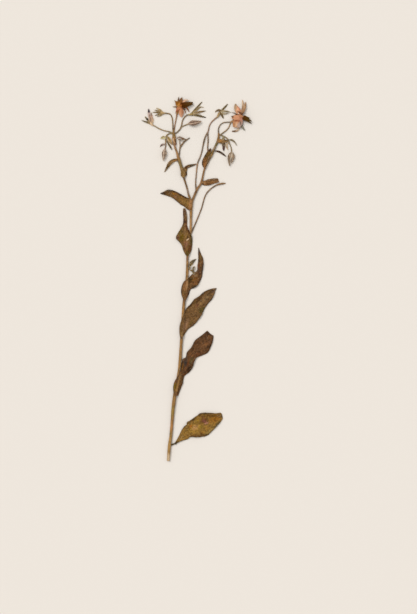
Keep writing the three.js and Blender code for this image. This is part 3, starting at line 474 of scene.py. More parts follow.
stem = Growth()
stalk_lines = []
for name, stalk in stalks.items():
    ribs = stalk.get("ribs", 0)
    sides = stem_sides if ribs else thin_sides
    per_stretch = 7 if ribs else 6
    line = curve(stalk["line"], np.linspace(0, 1, per_stretch * (len(stalk["line"]) - 1) + 1))
    stalk_lines.append(line)
    middle, width = line * (1, 1, 0), line[:, 2].copy()
    if name != "main":
        ahead = middle[-1] - middle[-2]
        ahead /= np.linalg.norm(ahead)
        middle = np.vstack([middle, *(middle[-1] + ahead * end_reach * share for share in (0.6, 1))])
        width = np.append(width, [width[-1] * 0.85, width[-1] * 0.4])
    width = width * (1 + unevenness * ripple(middle, 2.5))
    turn = np.linspace(0, 2 * np.pi, sides, endpoint=False)
    swell = 1 + (rib_depth * np.cos(ribs * turn + 0.6) if ribs else 0 * turn)
    left = leftward(middle)
    aside = 0.5 * width[:, None] * np.cos(turn) * swell
    rings = middle[:, None] + left[:, None] * aside[..., None]
    rings[..., 2] = np.maximum(0, pressed * width[:, None] * (0.5 + 0.5 * np.sin(turn) * swell))
    length = np.append(0, np.cumsum(np.linalg.norm(np.diff(middle, axis=0), axis=1)))
    marks = np.stack(np.broadcast_arrays(length[:, None], turn / (2 * np.pi), 0.0 if ribs else 1.0), axis=-1)
    tint = painted(rings.reshape(-1, 3), stalk["tint"], stalk.get("blots", ()))
    stem.tube(rings, tint, marks.reshape(-1, 3))
stem = stem.piece("pressed_stem", stalk_finish)
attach(stem, "root")
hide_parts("stem")


# ---------------------------------------------------------------- the leaves
# Ten soft leaves without stalks, or nearly so, that clasp the stem at their base. Pressing has dried
# them to a papery, puckered brown blade, with sunken veins, that lies over the stem where they cross.

blade_thickness = 0.28
pucker_height, crease_height, nibble_depth = 0.3, 0.42, 0.035  # the last is a share of the half width
drape_reach = 1.8  # how far a blade takes to come down beside a stalk that it lies over
drape_gap, drape_crease = 0.12, 0.15  # how far above the stalk it passes, and how crumpled it is there
stalk_points = np.vstack(stalk_lines)


def draped(points, thickness):
    """How high a blade has to lie at each point to pass over the stalks."""
    height = np.zeros(len(points))
    for x, y, width in stalk_points:
        away = np.hypot(points[:, 0] - x, points[:, 1] - y)
        fall = eased(np.clip((away - 0.4 * width) / (0.1 * width + drape_reach), 0, 1))
        height = np.maximum(height, (pressed * width + drape_gap + thickness / 2) * (1 - fall))
    return height


# Each leaf runs from its base to its tip through three lines of points: (x, y) and, where it isn't
# zero, a height. They are its two edges, as seen on the way to its tip, and the rib between them.
leaves = {
    "leaf_1": {
        "rows": 110, "columns": 47, "wave": 0.9, "veins": 6, "phase": 0, "tint": (142, 106, 48),
        "blots": [
            (7.4, -87.2, 4.4, 2.9, 30, (158, 120, 48)), (7.6, -86.8, 2.4, 1.9, 30, (180, 134, 80)),
            (4.6, -86.2, 1.4, 0.9, 40, (166, 104, 38)), (21, -81, 4.5, 2.4, 25, (154, 102, 34)),
            (13.6, -82, 2.9, 2, 20, (104, 64, 34)), (14.4, -82.9, 2, 1.1, -35, (116, 70, 56)),
            (12.9, -80, 1.5, 0.9, -40, (98, 60, 40)), (7.2, -92.1, 1.2, 0.5, 0, (98, 68, 32)),
            (14.8, -91.6, 1.4, 0.5, 10, (104, 74, 36)), (15.4, -84, 1.8, 0.5, 20, (176, 122, 96)),
            (11.6, -86.6, 1.5, 1, 20, (156, 124, 44)), (8.8, -82.6, 2, 1, 30, (156, 118, 44)),
            (18.6, -78.6, 4.4, 1.5, 0, (112, 76, 28)), (22.8, -84.4, 3.8, 0.7, 48, (98, 80, 42)),
            (13, -92.2, 5.6, 0.7, 6, (104, 76, 42)), (15.6, -77.4, 6, 0.6, 0, (104, 78, 38)),
            (25.5, -79, 1.6, 0.7, 75, (104, 82, 50)), (5.4, -82.4, 3.4, 0.6, 38, (94, 70, 34)),
            (11.2, -78.6, 1.6, 0.9, 40, (100, 70, 34)), (23.6, -78.9, 1.4, 1.4, 0, (126, 90, 48)),
            (17.5, -89.4, 3.4, 1, 35, (150, 122, 66)), (0, -86, 3.4, 0.9, 48, (82, 58, 30)),
            (11.8, -90.7, 0.9, 0.5, 0, (96, 58, 28)), (8.6, -92.6, 7, 0.9, 0, (116, 82, 38)),
            (-2.6, -94, 2.4, 0.8, 45, (156, 122, 68)), (-5.2, -97.6, 1.8, 1.2, 40, (64, 54, 34)),
        ],
        "left": [
            (-6.3, -97.3), (-5.2, -95.7), (-3.4, -92.4), (-1.4, -88.3), (0.6, -85.7), (1.9, -84.8),
            (1.7, -83.8), (4, -82.2), (8, -79.4), (11.4, -77.1), (16, -76.8), (21.6, -77.2), (25.3, -77.1),
            (26.4, -79.9),
        ],
        "rib": [
            (-6, -98, 0.3), (-4.9, -96.8), (-2.8, -94.2), (-0.6, -91.9), (1.6, -90.1), (3.6, -88.9),
            (5, -87.9), (7, -86.8), (10, -85.6), (13, -84.4), (16.8, -83.1), (20.6, -81.9), (24.4, -80.7),
            (26.4, -80.4),
        ],
        "right": [
            (-5.7, -98.7), (-4.6, -97.6), (-2.4, -96.4), (0.6, -95.4), (2.4, -94.9), (4.2, -93.5),
            (6.4, -93.4), (9.2, -93.5), (12.4, -93.2), (15.6, -92.6), (18.4, -90.2), (21.4, -87.1),
            (24.8, -83.3), (26.4, -81),
        ],
    },
    "leaf_2": {
        "rows": 120, "columns": 45, "wave": 0.7, "veins": 6, "phase": 0, "tint": (99, 67, 40),
        "blots": [
            (13.4, -31.6, 3.6, 1.5, 45, (114, 78, 48)), (17, -31.6, 3, 1, 40, (82, 54, 30)),
            (15.6, -23.4, 3.4, 1.3, 35, (82, 54, 32)), (17.4, -28, 1.6, 1, 60, (100, 70, 48)),
            (9.6, -36.8, 3, 1, 20, (108, 68, 40)), (8, -29.6, 3, 0.6, 45, (78, 50, 28)),
            (0.6, -43.4, 4, 1.5, 78, (56, 50, 44)), (3.1, -43, 1.8, 0.8, 70, (114, 62, 28)),
            (6.7, -43.4, 3.4, 0.7, 68, (74, 50, 28)), (4.8, -41.4, 2.8, 0.9, 65, (104, 82, 44)),
            (2.6, -48, 3.2, 1.3, 50, (66, 42, 22)), (0.9, -50.2, 2, 1, 60, (64, 40, 20)),
            (-0.8, -45.4, 2.6, 0.6, 80, (118, 78, 26)), (-4, -57.4, 7, 1.1, 76, (158, 116, 66)),
            (-6.2, -58.8, 3.2, 1.2, 80, (108, 84, 22)), (-1.6, -56, 4.5, 0.9, 72, (88, 62, 32)),
        ],
        "left": [
            (-6.4, -65.6), (-7.4, -61), (-6.7, -56.2), (-4.6, -52.4), (-2.7, -48.5), (-1.8, -44.2),
            (-0.9, -40.3), (1.2, -38.9), (1.9, -35.8), (4.7, -32.6), (7.6, -27.4), (11.2, -24.7),
            (15.9, -20.9),
        ],
        "rib": [
            (-5.2, -65.4), (-4.9, -61), (-4, -56.4), (-2.3, -52), (0.2, -49), (1.9, -45.3, 0.5),
            (3.6, -41.6, 0.7), (4.9, -38.9, 0.6), (6.9, -36), (9.4, -32.6), (12.3, -29.4), (15.2, -26.4),
            (17.8, -22.9),
        ],
        "right": [
            (-3.9, -65.2), (-2.4, -61), (-0.8, -56.8), (0.3, -52), (3.6, -49.3), (5.8, -46.2), (7.3, -41.6),
            (8.4, -39.6), (12.4, -37.8), (16.2, -35.9), (18.2, -32.2), (19.7, -27.8), (20.2, -24.4),
        ],
    },
    "leaf_3": {
        "rows": 110, "columns": 43, "wave": 0.6, "veins": 6, "phase": 1.2, "tint": (116, 84, 49),
        "blots": [
            (11.8, -1.8, 6.4, 1.6, 52, (136, 102, 62)), (15.4, 1.4, 2.8, 0.8, 50, (138, 108, 72)),
            (12.2, -6.8, 2.6, 1.6, 45, (82, 68, 26)), (1.2, -17.4, 4.2, 1.5, 70, (146, 108, 76)),
            (4.8, -15.4, 2, 1, 40, (108, 82, 38)), (20.2, 6.5, 2.6, 1, 40, (84, 62, 48)),
            (16.6, 4.4, 3, 1, 40, (100, 72, 40)), (10, 0.2, 3.4, 0.8, 45, (84, 54, 24)),
            (5.6, -2.6, 6, 0.8, 46, (72, 48, 22)), (14.6, 5.4, 5, 0.7, 30, (76, 52, 28)),
            (18.2, -0.8, 6, 0.7, 55, (68, 46, 24)), (13.8, -7.4, 3, 0.7, 60, (66, 46, 22)),
            (7.6, -16.6, 4, 0.6, 42, (84, 54, 26)), (9, -3.8, 1.8, 1, 50, (114, 74, 48)),
            (-1.8, -19.8, 4, 0.7, 85, (108, 80, 46)), (-1.4, -23.4, 2, 1, 85, (140, 108, 66)),
        ],
        "left": [
            (-2.5, -26.4), (-3.1, -22.6), (-3.1, -18.4), (-2.1, -14.6), (-0.4, -10.4), (1.6, -5.8),
            (4.4, -2.8), (7, 0.5), (10.2, 2.6), (13.8, 5.7), (18.4, 7.6), (22, 8.15),
        ],
        "rib": [
            (-1.7, -26.4), (-1.4, -22.8), (-0.6, -19.4), (1.6, -16.2), (4.6, -12.8), (7, -8.6, 0.3),
            (9.2, -4.6, 0.4), (11.8, -1.2, 0.4), (14.6, 1.4, 0.3), (17.2, 4), (19.8, 6.3), (22.1, 7.9),
        ],
        "right": [
            (-1, -26.2), (0.8, -22.8), (2.9, -20), (6.2, -17.6), (9.6, -13.8), (12.2, -10.2), (13.8, -6.6),
            (16.2, -2.8), (18.9, 0.2), (20.5, 3.4), (21.3, 5.9), (22.15, 7.55),
        ],
    },
    "leaf_4": {
        "rows": 110, "columns": 41, "wave": 0.6, "veins": 6, "phase": 2.4, "tint": (114, 80, 45),
        "blots": [
            (0.6, 8.4, 3.4, 1.4, 80, (150, 104, 62)), (0, 4.2, 2.8, 1.2, 85, (112, 82, 42)),
            (2.1, 10, 3.6, 0.6, 84, (182, 136, 92)), (-1.5, 7.6, 4, 0.4, 86, (98, 72, 38)),
            (8, 16.8, 1.4, 1, 30, (138, 108, 74)), (5.8, 14, 2.2, 1.3, 30, (130, 86, 34)),
            (7.4, 11.6, 1.8, 1.1, 30, (130, 84, 44)), (7, 8.9, 2.8, 0.9, 22, (72, 54, 36)),
            (10.6, 19, 2.4, 1.3, 85, (88, 58, 34)), (10.9, 13.6, 3.6, 0.9, 60, (72, 50, 34)),
            (12.5, 21, 5, 0.7, 85, (72, 52, 36)), (10, 22.6, 2.4, 0.7, 85, (108, 66, 40)),
            (11.2, 29, 2, 0.9, 95, (112, 86, 46)), (10.3, 26.4, 1.6, 0.6, 90, (76, 56, 28)),
            (10.1, 33.4, 2.6, 0.9, 92, (76, 58, 50)), (3.6, 5.4, 2.6, 0.8, 75, (78, 58, 46)),
            (4.6, 13.6, 2.6, 1, 50, (90, 66, 30)), (8.4, 14.6, 1, 0.7, 40, (114, 72, 30)),
        ],
        "left": [
            (-0.6, 0.4), (-1.9, 4.2), (-1.8, 8.2), (-0.3, 12.2), (3.4, 15.2), (5, 17.2), (7.3, 18.7),
            (8.8, 20), (9.2, 23.6), (9.7, 28), (9.65, 31.8), (9.75, 35.5),
        ],
        "rib": [
            (0.5, 0.2), (0.7, 3.9), (1.6, 7.8), (3.2, 10.4), (5.6, 12.5), (7.6, 14.9), (9.2, 17.1, 0.3),
            (10.3, 20, 0.4), (11.2, 23.9, 0.4), (11.3, 28.2, 0.2), (10.5, 31.9), (9.95, 35.6),
        ],
        "right": [
            (1.6, 0.2), (3.3, 3.6), (4.6, 7.2), (6.8, 8.1), (8.9, 9.5), (10.6, 12), (12.1, 15.2),
            (12.7, 19.4), (13.3, 23.9), (12.9, 28.5), (11.4, 31.9), (10.15, 35.4),
        ],
    },
    "leaf_5": {
        "rows": 100, "columns": 41, "wave": 0.7, "veins": 6, "phase": 0.6, "tint": (120, 87, 48),
        "blots": [
            (-2.3, 46.2, 2.6, 1.3, 55, (112, 86, 38)), (-1.5, 42.4, 2.8, 1.7, 75, (108, 82, 18)),
            (-4.6, 42.2, 1.4, 1.3, 40, (102, 66, 44)), (0.9, 43.6, 2.6, 1.1, 80, (142, 106, 56)),
            (0.7, 47.4, 3.4, 0.8, 88, (134, 100, 62)), (3.2, 46.9, 3.8, 0.9, -62, (90, 54, 24)),
            (4.6, 43.6, 1.8, 0.8, -80, (82, 58, 12)), (1.7, 51, 3, 0.8, -78, (104, 62, 34)),
            (0, 53.8, 1.6, 1, 90, (86, 56, 42)), (1.4, 38, 2.2, 1.4, 80, (136, 94, 70)),
            (0.4, 35.6, 1.6, 0.8, -60, (106, 66, 40)), (3.9, 35, 2.4, 1.2, 75, (102, 60, 28)),
            (5, 40, 2.4, 0.8, 92, (88, 76, 36)), (2.3, 31.2, 2.4, 1.4, 90, (88, 68, 22)),
            (2.5, 43, 0.7, 0.6, 0, (82, 56, 26)), (2.4, 41.1, 1.2, 0.45, 32, (214, 182, 150)),
            (0.6, 39.3, 0.8, 0.5, 0, (156, 104, 66)), (0.5, 59, 4, 1.4, 90, (104, 74, 50)),
        ],
        "left": [
            (1.5, 30), (-0.3, 33.2), (-1.7, 37.4), (-3.6, 39.9), (-5.5, 42), (-4.3, 45.4), (-2.5, 48.3),
            (-0.9, 51.3), (-0.5, 54.8), (-0.7, 59), (-0.6, 62.3),
        ],
        "rib": [
            (2.3, 29.9), (2.2, 33), (2.1, 37.2), (1.6, 40.2, 0.4), (1.2, 43, 0.6), (0.8, 45.6, 0.4),
            (0.6, 48.6), (0.6, 51.5), (0.7, 55), (0.5, 59.2), (0.3, 62.6),
        ],
        "right": [
            (3.2, 30.1), (4.9, 33.2), (5.6, 37.2), (5.75, 40.4), (5.4, 43.2), (4.4, 45.3), (2.9, 48.5),
            (2.1, 51.3), (2.1, 55), (1.8, 59), (1.1, 62.1),
        ],
    },
    "leaf_6": {
        "rows": 90, "columns": 37, "wave": 0.5, "veins": 6, "phase": 3, "tint": (122, 88, 46),
        "blots": [
            (0.6, 66.8, 5, 2.6, -34, (142, 106, 54)), (4.3, 65.4, 3.6, 1.2, 88, (166, 120, 76)),
            (3.9, 61.8, 1.2, 0.6, 0, (138, 86, 42)), (-9.8, 73, 3.4, 1.6, -8, (96, 68, 36)),
            (-9.6, 74.8, 2.6, 0.8, 0, (88, 74, 58)), (-5.2, 73.1, 3.6, 0.7, -22, (74, 48, 20)),
            (-1, 71.1, 3.6, 0.7, -32, (70, 44, 20)), (-14.6, 72.7, 2.6, 1.1, -5, (48, 34, 22)),
            (-7.1, 72.4, 1.6, 0.7, -20, (160, 108, 40)), (-5.6, 70.4, 1.2, 0.9, 80, (136, 98, 66)),
            (-6, 68.4, 2.2, 0.6, -42, (88, 56, 30)), (-0.6, 64.4, 3, 0.5, -34, (104, 72, 36)),
        ],
        "left": [
            (5, 61), (2.4, 61.6), (0.2, 63.6), (-2.4, 65.1), (-5.6, 67.8), (-8.4, 69.8), (-11.6, 71),
            (-13.9, 71.7), (-16, 72.4),
        ],
        "rib": [
            (5.3, 64.6), (3.1, 65.6), (0.6, 66.8), (-2, 68.4, 0.2), (-5, 70.6, 0.3), (-8, 72.2, 0.3),
            (-11.2, 73), (-13.9, 72.8), (-16.2, 72.6),
        ],
        "right": [
            (5.3, 68.6), (3.2, 69.4), (0.9, 70.4), (-1.6, 71.8), (-4.6, 73.5), (-7.9, 74.8), (-11.2, 75.1),
            (-13.8, 73.8), (-16, 72.8),
        ],
    },
    "leaf_7": {
        "rows": 60, "columns": 27, "wave": 0.4, "veins": 4, "phase": 0, "tint": (134, 94, 56),
        "blots": [
            (13, 80, 1.6, 1.2, 0, (166, 124, 82)), (17.4, 78.6, 5, 0.8, 10, (110, 74, 40)),
            (18.4, 82, 4, 0.6, 10, (134, 104, 74)),
        ],
        "left": [(12, 81), (14.2, 81.4), (16.8, 82.3), (19.6, 82.8), (21.8, 82.9), (23.2, 82.8)],
        "rib": [
            (11.9, 79.8), (14.2, 79.8), (16.8, 80.2, 0.2), (19.6, 80.9, 0.2), (21.9, 81.3), (23.6, 81.4),
        ],
        "right": [(12.1, 78.6), (14.3, 78), (17, 78.1), (19.8, 79.1), (22, 79.7), (23.9, 80.4)],
    },
    "leaf_8": {
        "rows": 64, "columns": 27, "wave": 0.3, "veins": 4, "phase": 0, "tint": (116, 80, 40),
        "blots": [
            (14, 92.8, 3.2, 1.3, 85, (144, 96, 52)), (12.6, 94.4, 3.4, 0.6, 84, (74, 46, 16)),
            (14.2, 98.4, 3.8, 0.5, 60, (80, 50, 22)), (16.6, 95.2, 3.4, 0.8, 72, (118, 98, 72)),
            (15.9, 98.8, 2.8, 1, 60, (106, 78, 36)), (17.5, 99.8, 1.6, 0.8, 60, (120, 88, 32)),
            (17.8, 102.4, 1.4, 0.9, 60, (90, 52, 32)),
        ],
        "left": [
            (13.7, 89.6), (12.4, 91.8), (12.3, 94.2), (13.3, 96.9), (14.6, 99.3), (16.2, 101.6),
            (17.9, 103.4),
        ],
        "rib": [
            (14.2, 89.5), (14.1, 91.7), (14.4, 94.2), (15.4, 96.9), (16.3, 99.3), (17.3, 101.4),
            (18.1, 103.5),
        ],
        "right": [
            (14.7, 89.8), (15.6, 91.9), (16.5, 94.3), (17.3, 96.8), (18, 99.2), (18.5, 101.4),
            (18.4, 103.3),
        ],
    },
    "leaf_9": {
        "rows": 60, "columns": 25, "wave": 0.2, "veins": 4, "phase": 0, "tint": (150, 116, 70),
        "blots": [
            (0, 88.8, 1.6, 0.8, 60, (158, 124, 80)), (-1.2, 86.4, 1.8, 0.5, 80, (122, 92, 46)),
            (1.7, 86.4, 2.4, 0.6, 85, (78, 54, 34)), (4.4, 91.3, 3.2, 1.2, 15, (84, 62, 42)),
            (1.6, 90.4, 1.2, 0.8, 50, (84, 54, 30)), (3.4, 91, 0.6, 0.3, 30, (156, 120, 80)),
            (5.9, 91.8, 1.1, 0.5, 15, (70, 70, 60)), (7.9, 92.5, 1.2, 0.7, 15, (124, 88, 62)),
        ],
        "left": [
            (-2.3, 84.6), (-2.1, 87.2), (-1.2, 89.2), (0.4, 90.7), (2.3, 92), (4.9, 92.5), (8.5, 92.9),
        ],
        "rib": [(-1.2, 83.6), (-0.2, 85.7), (0.4, 88.1), (1.4, 89.9), (3, 91.1), (5.4, 91.8), (8.6, 92.7)],
        "right": [(0.2, 83.3), (1.9, 85), (2.05, 87.4), (2.5, 89.7), (3.9, 90.3), (5.9, 91.1), (8.5, 92.4)],
    },
    "leaf_10": {
        "rows": 56, "columns": 21, "wave": 0.4, "veins": 4, "phase": 0, "tint": (150, 116, 74),
        "blots": [
            (-10.9, 91, 1.8, 1, 55, (98, 72, 38)), (-5.6, 95.2, 1.8, 0.8, 20, (148, 104, 56)),
            (-7.4, 95.8, 3.6, 0.5, 20, (120, 92, 58)), (-12.9, 88, 1.6, 1.4, 60, (160, 134, 104)),
        ],
        "left": [(-4.6, 94.9), (-6.7, 94), (-8.3, 92.8), (-9.6, 91.3), (-10.9, 89.7), (-13, 87.2)],
        "rib": [(-4.5, 95.6), (-6.9, 95.1), (-8.8, 94), (-10.4, 92.3), (-11.6, 90.1), (-13.3, 87.2)],
        "right": [(-4.7, 96.3), (-7, 96.2), (-9.2, 95.2), (-11.1, 93.2), (-12.2, 90.5), (-13.5, 87.4)],
    },
}


def leaf_finish(name, contrast, warm, dark):
    """A papery leaf, mottled with a warm and a dark tone, with paler veins and a finely netted skin, and
    with painted shade in the hollows of its wrinkles and along its rim.
    """
    finish = Finish(name)
    vein_count, from_rib, vein_spacing = finish.marks()  # a vein at each whole count, then millimetres
    outward = finish.attribute("tint", "Alpha")
    place = finish.place()
    wander = vein_count + 0.16 * (finish.grain(place, 500.0) - 0.5)
    to_vein = abs((wander + 0.5).fraction() - 0.5) * vein_spacing
    side_vein = (1 - to_vein.rise(0.06, 0.3)) * (1 - outward.rise(0.7, 0.97))
    rib = 1 - (abs(from_rib) + 0.35 * outward).rise(0.16, 0.5)
    vein = rib.most(0.8 * side_vein)
    cells = finish.node(
        "ShaderNodeTexVoronoi", {"feature": "DISTANCE_TO_EDGE"}, {"Vector": place, "Scale": 950.0}
    )
    net = 1 - cells.rise(0.02, 0.16)
    mottle = finish.grain(place, 420.0, 4.0)
    wrinkle = finish.grain(finish.vector(vein_count * 5, from_rib * 0.45, 0.0), 1.0, 3.0)
    fleck = finish.grain(place, 1100.0, 4.0)
    flesh = finish.attribute("tint", "Color")
    flesh = finish.blend(0.5 * contrast * mottle.rise(0.5, 0.68), flesh, (*colour(warm), 1.0))
    flesh = finish.blend(0.55 * contrast * mottle.rise(0.48, 0.32), flesh, (*colour(dark), 1.0))
    # Painted light and shade: lighter on the crests of the wrinkles that the relief raises, darker in their
    # hollows.
    flesh = finish.shade(flesh, 1 + 1.1 * contrast * (wrinkle - 0.48))
    flesh = finish.shade(flesh, 1 + contrast * (0.3 - 0.75 * fleck.rise(0.42, 0.66)) - 0.1 * net)
    # Paler veins, and painted shade: darker toward the rim, in place of the shade of a curled margin.
    flesh = finish.shade(flesh, 1.0 + 0.18 * vein - 0.5 * outward.rise(0.84, 0.98))
    finish.surface_is(Base_Color=flesh, Roughness=0.75 + 0.15 * mottle, Specular_IOR_Level=0.1)
    finish.relief(0.5 * wrinkle + 0.35 * fleck - 0.5 * vein - 0.3 * net, 0.4)
    return finish


leaf_finishes = {
    "leaf_gold": leaf_finish("golden leaf", 0.7, (172, 122, 48), (88, 64, 28)),
    "leaf_dark": leaf_finish("dark leaf", 0.75, (134, 84, 44), (52, 36, 22)),
    "leaf_olive": leaf_finish("olive leaf", 0.65, (152, 112, 60), (64, 48, 26)),
    "leaf_brown": leaf_finish("brown leaf", 0.65, (160, 108, 56), (70, 48, 28)),
}
leaf_blades = []
for name, leaf in leaves.items():
    along = np.linspace(0, 1, leaf["rows"])[:, None]
    across = np.linspace(-1, 1, leaf["columns"])
    out = abs(across) + 0 * along
    rib, left, right = (curve(leaf[edge], along[:, 0])[:, None] for edge in ("rib", "left", "right"))
    edge = np.where(across[:, None] < 0, left, right)
    nibbled = ripple(edge.reshape(-1, 3), 1.1).reshape(out.shape)
    middle = rib + (edge - rib) * (out * (1 + nibble_depth * nibbled * out ** 4))[..., None]
    flat = middle.reshape(-1, 3)
    ends = np.sin(np.pi * along) ** 0.6
    veins = leaf["veins"] * along - 0.8 * out
    turn = 5 * np.pi * along + leaf["phase"] + np.where(across < 0, 2.1, 0)
    pucker = (0.5 - 0.5 * np.cos(2 * np.pi * veins)) * (1 - out ** 4) * np.minimum(1, 3 * out)
    crease = (abs(ripple(flat, 2.3)) + 0.5 * abs(ripple(flat, 0.9))).reshape(out.shape)
    wave = leaf["wave"] * out ** 2 * (0.5 + 0.5 * np.sin(turn))
    middle[..., 2] += blade_thickness / 2 + ends * (wave + pucker_height * pucker + crease_height * crease)
    over = draped(flat, blade_thickness).reshape(out.shape)
    middle[..., 2] = np.maximum(middle[..., 2], over + drape_crease * crease)
    from_rib = across * np.linalg.norm(edge - rib, axis=-1)
    length = np.linalg.norm(np.diff(rib[:, 0], axis=0), axis=1).sum()
    marks = np.stack(np.broadcast_arrays(veins, from_rib, length / leaf["veins"]), axis=-1)
    tint = np.column_stack([painted(flat, leaf["tint"], leaf["blots"]), out.ravel()])
    blade = Growth()
    blade.blade(middle, blade_thickness / 2 * (1 - 0.6 * out ** 6), tint, marks.reshape(-1, 3))
    blade = blade.piece(f"{name}_blade", leaf_finishes[slot_of[name]])
    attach(blade, "root")
    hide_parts(name)
    leaf_blades.append(middle)


# ---------------------------------------------------------------- the bracts
# Small pointed leaves at the forks of the two flower clusters, withered to thin brown blades that
# are arched along their middle. Each starts at a stalk of its cluster, 0.1 to 0.3 mm clear of it.

bract_thickness = 0.24
bract_root = 0.4  # a bract starts this far behind the first point of its line


def outline(along, base, peak, tip):
    """Share of the full width along a bract, sepal or petal: from its base to its widest place, then
    to its tip."""
    toward = base + (1 - base) * np.sin(np.pi / 2 * np.minimum(along / peak, 1))
    beyond = 1 - (1 - tip) * np.maximum((along - peak) / (1 - peak), 0) ** 1.6
    return np.where(along < peak, toward, beyond)


def lance(growth, line, width, tints, thickness=bract_thickness, rise=0.0, base=0.4, peak=0.35, tip=0.1,
          cup=0.15, crumple=0.15, root=0.0, blots=()):
    """Adds a pointed blade along a line of (x, y, height), arched by its cup toward the base, crumpled
    all over, and begun a root's length behind the line. Gives its rows of points."""
    along = np.linspace(0, 1, 22)[:, None]
    across = np.linspace(-1, 1, 11)
    spine = curve(line, along[:, 0])
    left = leftward(spine)
    spine[0] -= root * np.array([left[0, 1], -left[0, 0], 0])
    out = abs(across) + 0 * along
    reach = across * width / 2 * outline(along, base, peak, tip)
    rows = spine[:, None] - left[:, None] * reach[..., None]
    rows[..., :2] += (0.05 * width * ripple(rows.reshape(-1, 3), 1.4).reshape(out.shape) * out)[..., None]
    flat = rows.reshape(-1, 3)
    crease = abs(ripple(flat, 1.3)).reshape(out.shape)
    rows[..., 2] += rise + thickness / 2 + cup * (1 - across ** 2) * (1 - along) + crumple * crease
    over = draped(flat, thickness).reshape(out.shape)
    rows[..., 2] = np.maximum(rows[..., 2], over)
    share = np.repeat(along, len(across))[:, None]
    tint = painted(flat, tints[0], blots) * (1 - share) + painted(flat, tints[1], blots) * share
    length = np.linalg.norm(np.diff(spine, axis=0), axis=1).sum()
    marks = np.stack(np.broadcast_arrays(along * length, across + 0 * along, width), axis=-1)
    half = thickness / 2 * (1 - 0.5 * out ** 4)
    growth.blade(rows, half, np.column_stack([tint, out.ravel()]), marks.reshape(-1, 3))
    return rows


# Each bract runs along its line from base to tip, and its tints are those of base and tip.
bracts = {
    "left_bract_broad": {
        "width": 2.6, "base": 0.6, "tints": ((156, 116, 70), (146, 98, 56)),
        "line": [(-6.8, 112.6), (-6.8, 110.2), (-6.3, 107.8), (-5.2, 105.5)],
        "blots": [
            (-6.9, 112, 1, 1.4, 0, (126, 96, 48)), (-5.8, 108.2, 2.4, 0.5, -65, (106, 70, 34)),
            (-5.4, 106, 1, 0.7, -65, (140, 82, 50)), (-7, 108.6, 2, 0.5, -75, (184, 148, 112)),
        ],
    },
    "left_bract_tan": {
        "width": 2.4, "peak": 0.55, "tip": 0.3, "tints": ((156, 124, 84), (186, 158, 118)),
        "line": [(-8.3, 106.3), (-9.3, 108), (-10.5, 109.9), (-11.6, 111.5)],
        "blots": [(-10.2, 109.8, 2.4, 0.5, 125, (138, 114, 62))],
    },
    "left_bract_narrow": {
        "width": 1.2, "peak": 0.6, "tip": 0.4, "tints": ((124, 98, 50), (56, 46, 28)),
        "line": [(-12.3, 109.6), (-11.4, 107.9), (-10.3, 106), (-9.1, 104), (-8.2, 102.4)],
    },
    "left_bract_arched": {
        "width": 2.0, "peak": 0.5, "tints": ((196, 184, 140), (192, 180, 132)),
        "line": [(-12.9, 110.2), (-13.7, 110.7), (-14.8, 110.6), (-16, 109.9)],
        "blots": [(-14.4, 111.2, 2.6, 0.6, 0, (136, 114, 66))],
    },
    "left_bract_withered": {
        "width": 1.3, "peak": 0.5, "tints": ((156, 130, 116), (92, 70, 76)),
        "line": [(-12.9, 106.1), (-14.1, 106), (-15.4, 105.5), (-16.3, 104.4)],
    },
    "right_bract_broad": {
        "width": 3.1, "peak": 0.45, "tip": 0.4, "rise": 1, "tints": ((146, 106, 60), (126, 96, 58)),
        "line": [(22.9, 109.2), (24.6, 108.2), (26.6, 107.9), (30, 108.6)],
        "blots": [
            (24.9, 108.2, 1.2, 0.7, 0, (164, 112, 54)), (25.2, 106.9, 2.2, 0.5, 5, (98, 70, 38)),
            (29.2, 109, 2, 0.7, 8, (84, 62, 38)),
        ],
    },
    "right_bract_dark": {
        "width": 2.3, "peak": 0.6, "tip": 0.2, "tints": ((148, 134, 96), (84, 54, 50)),
        "line": [(26.7, 111.2), (26.8, 108.6), (27, 105.2), (27.1, 101.5)],
        "blots": [(27.2, 103.4, 2, 0.5, 90, (66, 42, 38))],
    },
    "right_bract_light": {
        "width": 1.5, "peak": 0.5, "tints": ((192, 166, 134), (188, 160, 130)),
        "line": [(30.1, 107.5), (29.1, 106.1), (29.2, 104.3), (30.1, 102.3)],
    },
    "right_bract_narrow": {
        "width": 1.35, "peak": 0.6, "tip": 0.45, "tints": ((78, 50, 28), (56, 34, 20)),
        "line": [(20.9, 101.5), (23.2, 101.3), (25.8, 100), (28.6, 97.9)],
    },
    "right_bract_curled": {
        "width": 1.25, "tints": ((112, 96, 66), (124, 108, 82)),
        "line": [(30.7, 109.1), (32.6, 109), (34.4, 107.7), (36.1, 105.2)],
    },
}

bract_finish = Finish("dried bract")
along, across, width = bract_finish.marks()  # millimetres along, from -1 to 1 across, full width
outward = bract_finish.attribute("tint", "Alpha")
place = bract_finish.place()
rib = 1 - (outward * width).rise(0.1, 0.4)
fibre = bract_finish.grain(bract_finish.vector(along * 0.25, across * 5, width), 1.0, 3.0)
mottle = bract_finish.grain(place, 700.0, 3.0)
fleck = bract_finish.grain(place, 1700.0, 3.0)
flesh = bract_finish.attribute("tint", "Color")
flesh = bract_finish.shade(flesh, 0.58 + 0.86 * fibre - 0.3 * rib - 0.2 * outward.rise(0.8, 1.0))
flesh = bract_finish.shade(flesh, 1.36 - 0.34 * fleck.rise(0.5, 0.7) - 0.4 * mottle.rise(0.4, 0.65))
bract_finish.surface_is(Base_Color=flesh, Roughness=0.75 + 0.15 * fleck, Specular_IOR_Level=0.1)
bract_finish.relief(0.7 * fibre + 0.5 * fleck - 0.5 * rib, 0.2)

bract_blades = []
for name, bract in bracts.items():
    blade = Growth()
    bract_blades.append(lance(blade, root=bract_root, **bract))
    blade = blade.piece(f"{name}_blade", bract_finish)
    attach(blade, "root")
    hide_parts(name)


# ---------------------------------------------------------------- the buds
# Closed and half-open buds: five bristly sepals drawn together into a ribbed spindle with a point.
# Each hangs or stands at the end of its own thin stalk.

